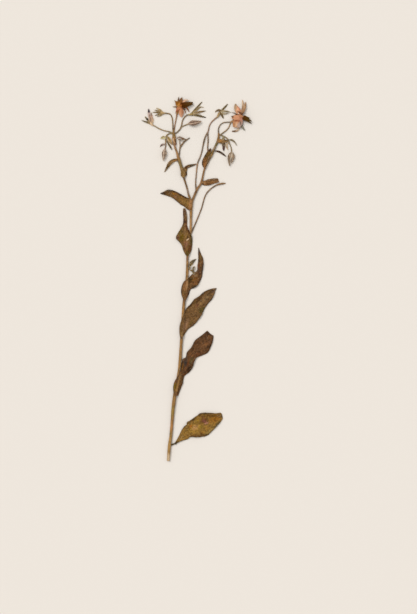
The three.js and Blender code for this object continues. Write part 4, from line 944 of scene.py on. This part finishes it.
def spindle(growth, line, radius, tints, flatness=0.75, ridge=0.1, widest=0.42, foot=0.25, blots=()):
    """Adds a ribbed bud along a line. Its tints are that of its five ribs and that of the furrows
    between them. Gives its rings of points."""
    along = np.linspace(0, 1, 26)[:, None]
    turn = np.linspace(0, 2 * np.pi, 40, endpoint=False)
    spine = curve(line, along[:, 0])
    left = leftward(spine)
    growing = foot + (1 - foot) * np.sin(np.pi / 2 * np.minimum(along / widest, 1)) ** 1.3
    narrowing = 1 - 0.88 * np.maximum((along - widest) / (1 - widest), 0) ** 1.5
    ribbed = np.cos(5 * turn + 1.5 * along)
    reach = radius * np.where(along < widest, growing, narrowing) * (1 + ridge * ribbed)
    rings = spine[:, None] + left[:, None] * (reach * np.cos(turn))[..., None]
    rings[..., 2] += flatness * (radius * (1 + ridge) + reach * np.sin(turn))
    flat = rings.reshape(-1, 3)
    share = (0.5 - 0.5 * ribbed).reshape(-1, 1) ** 4
    tint = painted(flat, tints[0], blots) * (1 - share) + painted(flat, tints[1], blots) * share
    marks = np.stack(np.broadcast_arrays(along * 4, turn / 2, 1.0), axis=-1)
    growth.tube(rings, np.column_stack([tint, 0.4 + 0 * share]), marks.reshape(-1, 3))
    return rings


# Each bud is one spindle, or two side by side.
buds = {
    "left_bud_hanging": [
        {"radius": 1.55, "tints": ((122, 98, 82), (210, 186, 160)),
         "line": [(-13, 103.1), (-13.4, 100.5), (-13.7, 97.8), (-14, 94.8)]},
    ],
    "left_bud_hairy": [
        {"radius": 1.3, "widest": 0.35, "tints": ((124, 102, 88), (206, 192, 180)),
         "line": [(-4.9, 110.4), (-3.1, 110.1), (-1.2, 109.8), (1.2, 109.4)],
         "blots": [(-0.3, 109.7, 1.7, 1.1, 0, (100, 64, 30))]},
    ],
    "left_bud_closed": [
        {"radius": 1.8, "tints": ((114, 90, 76), (190, 162, 138)),
         "line": [(2.8, 119.9), (5.4, 120.3), (8.6, 120.8), (12, 121.6)]},
    ],
    "right_bud_hanging": [
        {"radius": 1.3, "tints": ((100, 77, 57), (186, 162, 134)),
         "line": [(32.4, 101.1), (31.3, 98.4), (30.8, 95.4), (31.1, 91.2)],
         "blots": [(32.2, 97.5, 3.5, 0.5, 80, (226, 208, 184)), (30.5, 97.4, 2.4, 0.4, 95, (110, 86, 66))]},
        {"radius": 1.0, "tints": ((102, 77, 58), (190, 166, 138)),
         "line": [(32.6, 101), (33.5, 98.4), (33.2, 95.8), (32.2, 93)],
         "blots": [(32.2, 97.5, 3.5, 0.5, 80, (226, 208, 184))]},
    ],
}

bud_rings = []
for name, lobes in buds.items():
    bud = Growth()
    bud_rings += [spindle(bud, **lobe) for lobe in lobes]
    bud = bud.piece(f"{name}_spindle", bract_finish)
    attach(bud, "root")
    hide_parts(name)


# ---------------------------------------------------------------- the calyces
# Open calyces whose petals have dropped, and the two that still hold a flower. Each has five narrow,
# bristly sepals that fan out from the widened end of its stalk.

cup_radius = 0.8

# The cup is the line of the widened end. A sepal has the calyx's tint at its foot and the tint of its
# "tip" at its point, unless it names tints of its own.
calyces = {
    "calyx_a": {
        "tint": (200, 170, 134), "tip": (120, 104, 76), "cup": [(-21, 119), (-21.9, 119.6), (-23, 121)],
        "sepals": [
            {"line": [(-22.2, 120), (-25.2, 121.1), (-29, 122.5)], "width": 1.3,
             "tints": ((160, 132, 92), (78, 70, 50)), "blots": [(-25.6, 121.2, 1.4, 0.5, 20, (66, 50, 26))]},
            {"line": [(-22.4, 120.2), (-24.6, 122.6), (-26.6, 125)], "width": 1.5, "peak": 0.5, "tip": 0.3,
             "tints": ((166, 138, 98), (112, 96, 66)), "blots": [(-25, 123.2, 1.1, 0.9, 45, (30, 22, 12))]},
            {
                "line": [(-22.5, 120.4), (-23.5, 125.2, 0.3), (-24.2, 130.3)], "width": 1.9, "peak": 0.6,
                "tip": 0.25, "tints": ((196, 164, 134), (176, 156, 154)),
                "blots": [
                    (-24.1, 129, 1.5, 1.1, 85, (36, 22, 40)), (-23, 124, 2.4, 0.4, 100, (144, 108, 82)),
                ],
            },
            {
                "line": [(-22.1, 120.5), (-21.9, 124.2, 0.1), (-22.3, 127.9)], "width": 1.5,
                "tints": ((200, 168, 138), (196, 160, 140)),
                "blots": [
                    (-22.3, 126.2, 1.6, 0.4, 85, (150, 110, 88)),
                    (-21.3, 123.6, 1.6, 0.3, 85, (176, 142, 112)),
                ],
            },
            {"line": [(-22, 120.2), (-21.2, 121.8), (-20.9, 123.8)], "width": 1.1,
             "tints": ((206, 176, 142), (210, 176, 150))},
        ],
    },
    "calyx_b": {
        "tint": (164, 136, 94), "tip": (178, 156, 114),
        "cup": [(-12.6, 127.3), (-14.2, 127.4), (-16.2, 127.6)],
        "sepals": [
            {"line": [(-14.3, 127.6), (-16.7, 129.7), (-19, 130.8)], "width": 1.2},
            {"line": [(-14.5, 127.6), (-17.2, 128.9, 0.2), (-20.2, 129.4)], "width": 1.1,
             "tints": ((168, 142, 98), (144, 118, 74))},
            {"line": [(-14.5, 127.5), (-17.8, 127.9, 0.3), (-21.5, 127.9)], "width": 1.2,
             "tints": ((160, 132, 88), (108, 82, 46)), "blots": [(-17.8, 127.9, 3, 0.3, 0, (118, 92, 44))]},
            {"line": [(-14.5, 127.3), (-17.2, 126.5, 0.1), (-20, 125.8)], "width": 1.2,
             "tints": ((150, 126, 80), (122, 100, 62))},
            {"line": [(-14.3, 127.1), (-16, 125.8), (-18.4, 124.9)], "width": 1.1,
             "tints": ((160, 138, 100), (132, 112, 78))},
        ],
    },
    "calyx_d": {
        "tint": (160, 136, 88), "tip": (130, 106, 66), "cup": [(3, 126.3), (4.4, 126.3), (6.2, 126.8)],
        "sepals": [
            {"line": [(4.6, 126.6), (8.2, 130.5), (12.3, 135)], "width": 1.2, "peak": 0.5, "tip": 0.4,
             "tints": ((136, 112, 66), (98, 80, 50))},
            {"line": [(4.8, 126.6), (8.6, 129.4, 0.2), (11.4, 131.5), (13.3, 131.1)], "width": 1,
             "tints": ((172, 148, 104), (132, 106, 72))},
            {"line": [(5, 126.5), (9.4, 127.9, 0.3), (14.7, 128.9)], "width": 1.2, "peak": 0.6, "tip": 0.3,
             "tints": ((144, 116, 72), (116, 88, 52))},
            {"line": [(4.8, 126.3), (9.2, 125.7, 0.1), (14.9, 124.4)], "width": 1.3, "peak": 0.7,
             "tip": 0.3, "tints": ((138, 116, 68), (62, 46, 28))},
            {"line": [(5, 126.5), (8, 127, 0.6), (11, 126.8, 0.3)], "width": 1,
             "tints": ((172, 146, 106), (158, 130, 92))},
        ],
    },
    "calyx_f": {
        "tint": (156, 130, 92), "tip": (146, 124, 82), "cup": [(22.3, 124.3), (23.2, 125.4), (24.3, 128)],
        "sepals": [
            {"line": [(24.4, 128), (26.9, 130.4), (29.8, 133.5)], "width": 1.2, "peak": 0.6, "tip": 0.4,
             "tints": ((122, 100, 56), (90, 72, 38))},
            {"line": [(25.6, 128.8), (23.2, 129.3), (21, 128)], "width": 1.5,
             "tints": ((118, 90, 56), (128, 100, 66)), "blots": [(23.4, 129.4, 1.6, 0.6, 0, (96, 70, 40))]},
            {"line": [(23.9, 128, 0.6), (25.5, 126.4, 0.2), (26.9, 123.8)], "width": 1.6, "peak": 0.5,
             "tip": 0.4, "tints": ((106, 76, 30), (92, 74, 44))},
            {"line": [(24.6, 128.3), (28.4, 128.6, 0.2), (32, 127.9)], "width": 1.3,
             "tints": ((182, 162, 126), (116, 100, 72))},
            {"line": [(24.5, 127.8), (27.4, 126.8, 0.1), (30.6, 127.3)], "width": 1.1,
             "tints": ((190, 170, 132), (124, 108, 80))},
        ],
    },
    "flower_1_calyx": {
        "tint": (166, 116, 62), "tip": (108, 70, 38), "cup": [(-4.9, 126.7), (-4.4, 128), (-3.3, 130)],
        "sepals": [
            {"line": [(-3.5, 129.8), (-4.7, 128.9), (-5.9, 127.1)], "width": 1.1,
             "tints": ((170, 108, 66), (110, 68, 48))},
            {"line": [(-3.3, 130.2), (-5.2, 131.5), (-7.7, 131.7)], "width": 1.1},
            {"line": [(-3.1, 130.4), (-5, 133.6), (-6.4, 136.1)], "width": 1.2},
            {"line": [(-2.9, 130.6), (-3.8, 134.6), (-3.6, 138.4)], "width": 1.7,
             "tints": ((150, 98, 48), (98, 66, 44))},
            {"line": [(-2.8, 129.9), (0.2, 130), (1.3, 126.8)], "width": 1,
             "tints": ((160, 98, 60), (128, 82, 50))},
        ],
    },
    "flower_2_calyx": {
        "tint": (160, 122, 84), "tip": (124, 94, 68), "cup": [(31.6, 121.2), (32.8, 121.6), (34.8, 122.6)],
        "sepals": [
            {"line": [(34.6, 122.8), (36.2, 125), (35.2, 126.8), (32.5, 127.9)], "width": 1,
             "tints": ((92, 60, 36), (92, 64, 44))},
            {"line": [(34.1, 122.4), (33.8, 124.2), (32, 125.2)], "width": 1.1,
             "tints": ((140, 98, 66), (96, 66, 46))},
            {
                "line": [(34.2, 121.8), (37.4, 118.6), (36.4, 115.6), (32.7, 114.9)], "width": 1.4,
                "peak": 0.7, "tip": 0.5, "tints": ((196, 168, 138), (122, 94, 68)),
                "blots": [
                    (36.7, 116.4, 1.6, 0.9, 60, (206, 180, 152)), (33.4, 114.9, 1.2, 0.8, 0, (112, 80, 56)),
                ],
            },
            {"line": [(34.6, 122), (38.4, 121), (39.4, 118.2)], "width": 1.1},
            {"line": [(34.6, 122.4), (37.2, 125.2), (36.7, 128.5)], "width": 1.1,
             "tints": ((110, 70, 44), (100, 64, 42))},
        ],
    },
}

sepal_blades = []
for name, calyx in calyces.items():
    star = Growth()
    cup_tints = calyx["tint"], calyx["tint"]
    spindle(star, calyx["cup"], cup_radius, cup_tints, ridge=0.06, widest=0.8, foot=0.45)
    usual = {"tints": (calyx["tint"], calyx["tip"]), "base": 0.6, "crumple": 0.1}
    sepal_blades += [lance(star, **{**usual, **sepal}) for sepal in calyx["sepals"]]
    star = star.piece(f"{name}_star", bract_finish)
    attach(star, "root")
    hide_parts(name)


# ---------------------------------------------------------------- the young shoot
# A tiny side shoot in the angle between the fourth leaf and the stem: two short stalks, one leaflet
# that stands up, one that hangs down and a bud. Its foot ends 0.4 mm short of the stem.

shoot_stalks = [
    [(3.45, 20.2, 1.0), (3.9, 21.8, 1.0), (4.2, 24.2, 1.2)],
    [(3.6, 20.6, 0.9), (5.0, 20.0, 0.8), (6.0, 20.3, 0.9), (6.4, 21.6, 0.9)],
]
shoot_radius, young_bud_radius = 0.5, 0.75
upright_width, hanging_width = 2.4, 1.5
shoot_tints = (132, 108, 68), (84, 68, 52)
upright_leaflet = [(3.9, 23.2), (5.6, 25.8, 0.2), (8.3, 27.9)]
upright_blots = [(6, 26.2, 1.8, 0.7, 40, (84, 74, 52)), (4.3, 23.9, 0.9, 0.6, 60, (112, 96, 42))]
hanging_leaflet = [(6, 21), (6.1, 19.6, 0.6), (6.9, 17.4, 1.2)]
hanging_tints = (76, 64, 34), (120, 98, 60)
young_bud = [(6.2, 20.8), (6.6, 21.9), (7.3, 22.9)]
young_bud_tints = (98, 82, 58), (134, 118, 90)

shoot = Growth()
for stalk in shoot_stalks:
    spindle(shoot, stalk, shoot_radius, shoot_tints, ridge=0.06, widest=0.5)
bract_blades += [
    lance(shoot, upright_leaflet, upright_width, shoot_tints, peak=0.4, blots=upright_blots),
    lance(shoot, hanging_leaflet, hanging_width, hanging_tints, peak=0.6, tip=0.5),
]
bud_rings.append(spindle(shoot, young_bud, young_bud_radius, young_bud_tints))
shoot = shoot.piece("axillary_shoot_growth", bract_finish)
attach(shoot, "root")
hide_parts("axillary_shoot")


# ---------------------------------------------------------------- the flowers
# Two open flowers, pressed sideways. Each has a star of thin, pointed petals, dried from blue to
# salmon and tan, grown from a short tube, and a cone of five dark brown anthers that sticks out.

petal_thickness = 0.2
corolla_rise = 1.3  # the petals lie this far above the sepals
tube_radius, tube_drop = 0.9, 0.15  # the tube at the hub lies a little lower than the petals

# The hub is the line of the tube. The cone runs from its foot to its point, both (x, y, height). Its
# anthers stand in a ring, each with its own share of the cone's length, and splay toward their tips.
flowers = {
    "flower_1": {
        "tint": (160, 96, 44),
        "blots": [
            (-4.6, 134, 1, 0.8, 60, (134, 84, 24)), (-3.4, 133, 1.4, 0.6, 50, (184, 122, 50)),
            (-4.2, 131.8, 1.2, 0.6, 30, (178, 124, 62)), (-1.4, 133.2, 1.8, 1.2, 60, (100, 46, 6)),
            (-0.8, 131.2, 1.6, 1, 0, (108, 52, 16)), (-3.4, 130, 1.2, 0.6, 40, (196, 134, 90)),
            (-4.6, 128.8, 1.2, 0.5, 55, (158, 92, 64)), (-2.4, 136.2, 1.2, 0.6, 90, (120, 76, 32)),
            (-1.2, 128, 2.2, 0.3, 90, (150, 96, 66)),
        ],
        "hub": [(-2.6, 131.4), (-1.8, 132.2), (-0.6, 132.8)],
        "cone": {
            "from": (-1.4, 132.2, 1.9), "to": (6.2, 134, 1.4), "ring": 1.15, "anther": 0.84,
            "lengths": (1, 0.98, 1, 0.99, 1), "splay": 0, "tints": ((78, 36, 0), (94, 66, 26)),
        },
        "petals": [
            {"line": [(-2, 131.8), (-2, 128.2), (-1.9, 126.2, -0.5), (-1.7, 124.4, -1.1)], "width": 3.5,
             "tints": ((184, 122, 80), (212, 160, 128))},
            {"line": [(-2.4, 132), (-3.9, 130.2, 0.4), (-5.5, 127.9, 0.5)], "width": 2.5,
             "tints": ((178, 120, 76), (178, 108, 80))},
            {"line": [(-2.2, 132.4), (-4.2, 133.6), (-5.8, 135.2)], "width": 3.6,
             "tints": ((150, 92, 32), (150, 100, 46))},
            {"line": [(-1.8, 132.8), (-2.1, 135.5), (-1.3, 138.1, -0.9)], "width": 2.4,
             "tints": ((136, 82, 28), (118, 84, 54))},
            {"line": [(-1, 133.2), (0.6, 135.6), (3.4, 136.1, -0.9)], "width": 1.9,
             "tints": ((176, 118, 74), (238, 208, 182)), "blots": []},
            {"line": [(-1.4, 131.6), (1.6, 130.9, 0.2), (3.6, 128, -0.9)], "width": 1.3,
             "tints": ((126, 70, 32), (140, 92, 60))},
        ],
    },
    "flower_2": {
        "tint": (180, 124, 84),
        "blots": [
            (37.2, 119, 1.4, 1.5, 0, (186, 160, 146)), (33.9, 119.4, 2.2, 0.6, 88, (184, 126, 78)),
            (35.6, 119.4, 1.8, 0.6, 88, (212, 166, 126)), (36.2, 121.9, 3.4, 0.55, 0, (150, 84, 52)),
            (38.7, 123.6, 0.6, 1.6, 0, (178, 116, 96)), (33.1, 124.7, 0.7, 0.8, 0, (84, 52, 26)),
            (33.2, 122.9, 0.6, 0.5, 0, (130, 84, 52)), (38.4, 120.2, 1.6, 0.4, 80, (112, 88, 68)),
            (35, 132.9, 1.4, 0.9, 85, (146, 120, 92)), (34.9, 130.6, 2.4, 0.7, 88, (172, 142, 108)),
            (37.4, 130.3, 2, 0.6, -52, (196, 124, 96)), (36.6, 129.6, 1.2, 0.7, 70, (232, 168, 128)),
            (35.6, 126.5, 2, 0.6, -14, (92, 54, 26)), (38.2, 127.4, 2.2, 0.7, -26, (88, 48, 26)),
            (37, 127, 0.5, 0.4, 0, (228, 216, 204)),
        ],
        "hub": [(37, 124.9), (39.2, 124.9), (41.6, 124.1)],
        "cone": {
            "from": (40.2, 124.3, 1.75), "to": (46.1, 121.7, 1.1), "ring": 0.95, "anther": 0.74,
            "lengths": (0.7, 1.04, 1.08, 0.84, 0.66), "splay": 1, "tints": ((82, 42, 0), (88, 70, 26)),
        },
        "petals": [
            {"line": [(38.2, 126), (36.7, 128.8), (35.4, 131.4, -0.4), (35, 133.7, -1)], "width": 3.9,
             "base": 0.6, "peak": 0.35, "tints": ((206, 146, 108), (200, 160, 124))},
            {
                "line": [(38.7, 125.4), (40.4, 130.8), (39.7, 136.5, -1)], "width": 2.2,
                "tints": ((150, 108, 72), (206, 174, 142)),
                "blots": [
                    (38.8, 126.6, 1.4, 1, -26, (84, 46, 24)), (40, 130.6, 3, 0.4, 88, (146, 108, 74)),
                    (39.5, 133.4, 1.2, 0.5, 90, (226, 200, 168)),
                ],
            },
            {
                "line": [(39, 125.6), (41.1, 130.6), (42.1, 135, -1)], "width": 2.1,
                "tints": ((140, 98, 62), (184, 146, 112)),
                "blots": [
                    (39.8, 126.6, 1.4, 1, -26, (88, 50, 28)), (41.9, 132.4, 1.8, 0.4, 75, (156, 116, 78)),
                    (40.9, 131.6, 1.6, 0.5, 80, (196, 156, 116)),
                ],
            },
            {"line": [(39.4, 124.9), (36.2, 124.4, 0.2), (32.5, 124.3)], "width": 3.9, "tip": 0.35,
             "peak": 0.5, "tints": ((196, 134, 102), (208, 150, 110))},
            {"line": [(38.2, 124.8), (36.2, 121.4), (35.5, 117.4)], "width": 5.6, "tip": 0.8, "peak": 0.6,
             "tints": ((194, 134, 98), (192, 146, 110))},
            {"line": [(39, 124.6, 0.2), (38.8, 121, 0.3), (37.4, 117.4, 0.3)], "width": 2.6, "tip": 0.4,
             "peak": 0.6, "tints": ((184, 124, 98), (166, 146, 134))},
            {"line": [(39.1, 124.4, -0.4), (38.7, 120.2, -0.6), (39.6, 118, -0.7), (41.5, 115.6, -1)],
             "width": 1.6, "tip": 0.3, "peak": 0.6, "tints": ((126, 96, 76), (138, 136, 118)), "blots": []},
        ],
    },
}

petal_finish = Finish("dried petal")
along, across, width = petal_finish.marks()
outward = petal_finish.attribute("tint", "Alpha")
place = petal_finish.place()
fibre = petal_finish.grain(petal_finish.vector(along * 0.3, across * 7, width), 1.0, 3.0)
cloud = petal_finish.grain(place, 500.0, 3.0)
flesh = petal_finish.attribute("tint", "Color")
flesh = petal_finish.shade(flesh, 0.72 + 0.38 * fibre.rise(0.35, 0.65) + 0.3 * cloud)
flesh = petal_finish.shade(flesh, 1.0 - 0.34 * outward.rise(0.76, 1.0))
petal_finish.surface_is(Base_Color=flesh, Roughness=0.65 + 0.15 * cloud, Specular_IOR_Level=0.12)
petal_finish.relief(fibre + 0.4 * cloud, 0.14)

anther_finish = Finish("dried anthers")
along, across, width = anther_finish.marks()
fibre = anther_finish.grain(anther_finish.vector(along * 0.4, across * 3, width), 1.0, 3.0)
flesh = anther_finish.shade(anther_finish.attribute("tint", "Color"), 0.55 + 0.9 * fibre)
anther_finish.surface_is(Base_Color=flesh, Roughness=0.7 + 0.2 * fibre, Specular_IOR_Level=0.06)
anther_finish.relief(fibre, 0.15)

# The thickness of an anther and its distance from the cone's axis, at shares of its length
anther_rings = [(0.75, 0.85, 0), (1, 1, 0.2), (0.85, 0.75, 0.5), (0.55, 0.65, 0.8), (0.15, 0.62, 1)]

for name, flower in flowers.items():
    corolla = Growth()
    tube = [(x, y, corolla_rise - tube_drop) for x, y in flower["hub"]]
    spindle(corolla, tube, tube_radius, (flower["tint"], flower["tint"]), flatness=0.6, ridge=0.05)
    usual = {"base": 0.45, "peak": 0.45, "cup": 0.25, "crumple": 0.45, "blots": flower["blots"]}
    for petal in flower["petals"]:
        lance(corolla, thickness=petal_thickness, rise=corolla_rise, **{**usual, **petal})
    corolla = corolla.piece(f"{name}_petals", petal_finish)
    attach(corolla, "root")
    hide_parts(f"{name}_corolla")

    cone = Growth()
    cone_shape = flower["cone"]
    start, end = np.array(cone_shape["from"]), np.array(cone_shape["to"])
    steps = np.linspace(0, 1, 18)
    thick, spread, along = curve(anther_rings, steps).T
    splayed = spread + cone_shape["splay"] * along ** 2
    left = leftward(np.array([start, end]))[0]
    turn = np.linspace(0, 2 * np.pi, 14, endpoint=False)
    for number, length in enumerate(cone_shape["lengths"]):
        angle = 2 * np.pi * number / len(cone_shape["lengths"]) + 0.3
        spine = start + (end - start) * length * along[:, None]
        spine += left * (cone_shape["ring"] * splayed * np.cos(angle))[:, None]
        spine[:, 2] += 0.7 * cone_shape["ring"] * spread * np.sin(angle)
        reach = cone_shape["anther"] * thick[:, None] * (1 + 0.12 * np.cos(2 * turn))
        rings = spine[:, None] + left * (reach * np.cos(turn))[..., None]
        rings[..., 2] = np.maximum(0, rings[..., 2] + 0.85 * reach * np.sin(turn))
        darken = along.repeat(len(turn))[:, None]
        tint = colour(cone_shape["tints"][0]) * (1 - darken) + colour(cone_shape["tints"][1]) * darken
        marks = np.stack(np.broadcast_arrays(steps[:, None] * 6, turn / 2, number), axis=-1)
        cone.tube(rings, tint, marks.reshape(-1, 3))
    cone = cone.piece(f"{name}_anther_cone", anther_finish)
    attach(cone, "root")
    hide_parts(f"{name}_anthers")


# ---------------------------------------------------------------- the bristles
# Stiff pale hairs, thicker at their foot, each a single cell of the plant's skin. They are long all
# over the stalks, buds, bracts and sepals, and short on the faces and edges of the leaves.

draw = np.random.default_rng(11)
hair_tint = (240, 229, 204)
stray = 0.35  # how far bristles point away from the way of their neighbours
lowest_tip = 0.06  # above the ground


def bristles(growth, roots, ways, shortest, longest, radius):
    """Adds a three-sided hair from each root along its way, and keeps it off the ground."""
    count = len(roots)
    ways = ways + stray * draw.normal(size=(count, 3))
    ways /= np.linalg.norm(ways, axis=1)[:, None]
    tips = roots + ways * draw.uniform(shortest, longest, count)[:, None]
    tips[:, 2] = np.maximum(tips[:, 2], lowest_tip)
    beside = np.cross(ways, (0.1, 0.2, 1.0))
    beside /= np.linalg.norm(beside, axis=1)[:, None]
    above = np.cross(ways, beside)
    foot = [
        roots + radius * (beside * math.cos(turn) + above * math.sin(turn))
        for turn in (0, 2 * math.pi / 3, 4 * math.pi / 3)
    ]
    points = np.stack([*foot, tips], axis=1)
    faces = [
        (first + a, first + b, first + c)
        for first in range(0, 4 * count, 4)
        for a, b, c in ((0, 1, 3), (1, 2, 3), (2, 0, 3), (2, 1, 0))
    ]
    growth.add(points, faces, colour(hair_tint))


hair_finish = Finish("pale bristles")
hair_finish.surface_is(
    Base_Color=hair_finish.attribute("tint", "Color"), Roughness=0.45, Specular_IOR_Level=0.4
)

hairs_per_mm, hair_length = 5, 0.9  # on a stalk that doesn't name its own

stem_hairs = Growth()
for stalk, line in zip(stalks.values(), stalk_lines):
    length = np.linalg.norm(np.diff(line[:, :2], axis=0), axis=1).sum()
    count = int(length * stalk.get("hairs", hairs_per_mm))
    at = draw.uniform(0, 1, count) * (len(line) - 1.001)
    first = at.astype(int)
    centre = line[first] + (line[first + 1] - line[first]) * (at - first)[:, None]
    left = leftward(line)[first]
    turn = draw.uniform(-0.3, math.pi + 0.3, count)[:, None]
    way = left * np.cos(turn) + (0, 0, 1) * np.sin(turn)
    roots = centre * (1, 1, 0) + left * 0.48 * centre[:, 2:] * np.cos(turn)
    roots[:, 2] = pressed * centre[:, 2] * (0.5 + 0.48 * np.sin(turn[:, 0]))
    forward = np.column_stack([left[:, 1], -left[:, 0], 0 * left[:, 0]])
    bristles(stem_hairs, roots, way + 0.4 * forward, 0.3, stalk.get("longest", hair_length), 0.022)
stem_hairs = stem_hairs.piece("stem_bristles", hair_finish)
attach(stem_hairs, "root")


def blade_bristles(growth, blade, on_rim, on_face, shortest, longest, radius):
    """Adds bristles that point outward along the rim of a blade and stand up all over its face."""
    rows, columns = blade.shape[:2]
    side = draw.integers(0, 2, on_rim) * (columns - 1)
    row = draw.integers(0, rows, on_rim)
    outward = blade[row, side] - blade[row, columns - 1 - side]
    outward /= np.linalg.norm(outward, axis=1)[:, None] + 0.01
    ahead = blade[-1, columns // 2] - blade[0, columns // 2]
    ahead /= np.linalg.norm(ahead)
    bristles(growth, blade[row, side], outward + 0.4 * ahead, shortest, longest, radius)
    row, column = draw.integers(1, rows, on_face), draw.integers(1, columns - 1, on_face)
    upward = 0.7 * ahead + (0, 0, 0.6)
    bristles(growth, blade[row, column] + (0, 0, 0.1), upward, shortest, longest, radius)


rim_per_mm, face_per_mm = 9, 12  # bristles on a leaf, for each millimetre of its edge

leaf_hairs = Growth()
for blade in leaf_blades:
    edge = np.linalg.norm(np.diff(blade[:, 0], axis=0), axis=1).sum()
    blade_bristles(leaf_hairs, blade, int(rim_per_mm * edge), int(face_per_mm * edge), 0.15, 0.55, 0.02)
leaf_hairs = leaf_hairs.piece("leaf_bristles", hair_finish)
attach(leaf_hairs, "root")

on_rim, on_face, on_bud = 60, 45, 260  # bristles on each bract or sepal, and on each bud

flower_hairs = Growth()
for blade in sepal_blades + bract_blades:
    blade_bristles(flower_hairs, blade, on_rim, on_face, 0.35, 1.0, 0.024)
for rings in bud_rings:
    rows, sides = rings.shape[:2]
    row, side = draw.integers(1, rows - 2, on_bud), draw.integers(0, sides, on_bud)
    roots = rings[row, side]
    outward = roots - rings[row].mean(axis=1)
    outward /= np.linalg.norm(outward, axis=1)[:, None]
    ahead = rings[-1].mean(axis=0) - rings[0].mean(axis=0)
    bristles(flower_hairs, roots, outward + 0.8 * ahead / np.linalg.norm(ahead), 0.35, 1.1, 0.024)
flower_hairs = flower_hairs.piece("flower_bristles", hair_finish)
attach(flower_hairs, "root")


# ---------------------------------------------------------------- the surface, light and camera
# A plain cream surface a hair below the shoot, even studio light from all round with a broad, soft
# lamp on the upper left, and a camera that looks straight down. Lengths are in metres here.

cream = (237, 229, 219)
floor_drop, floor_size = 0.0002, 4.0
sky_strength, lamp_strength, lamp_spread = 0.63, 1.5, math.radians(30)
lamp_way = (0.5, -0.45, -0.9)
view_centre, view_height, lens, sensor = (0.0167, -0.0048), 0.4186, 85.0, 36.0

floor_finish = Finish("cream surface")
floor_finish.surface_is(Base_Color=(*colour(cream), 1.0), Roughness=0.9, Specular_IOR_Level=0.2)
bpy.ops.mesh.primitive_plane_add(size=floor_size, location=(0, 0, -floor_drop))
floor = bpy.context.object
floor.name = "cream_surface"
floor.data.materials.append(floor_finish.material)

world = bpy.data.worlds.new("even light")
world.use_nodes = True
sky = world.node_tree.nodes["Background"]
sky.inputs["Color"].default_value = (1.0, 1.0, 1.0, 1.0)
sky.inputs["Strength"].default_value = sky_strength
bpy.context.scene.world = world

lamp = bpy.data.lights.new("soft lamp", "SUN")
lamp.energy, lamp.angle = lamp_strength, lamp_spread
lamp = bpy.data.objects.new("soft lamp", lamp)
lamp.rotation_euler = Vector(lamp_way).to_track_quat("-Z", "Y").to_euler()
bpy.context.scene.collection.objects.link(lamp)

camera = bpy.data.cameras.new("camera")
camera.lens, camera.sensor_width = lens, sensor
camera = bpy.data.objects.new("camera", camera)
camera.location = (*view_centre, view_height * lens / sensor)
bpy.context.scene.collection.objects.link(camera)
bpy.context.scene.camera = camera
bpy.context.scene.view_settings.view_transform = "Standard"
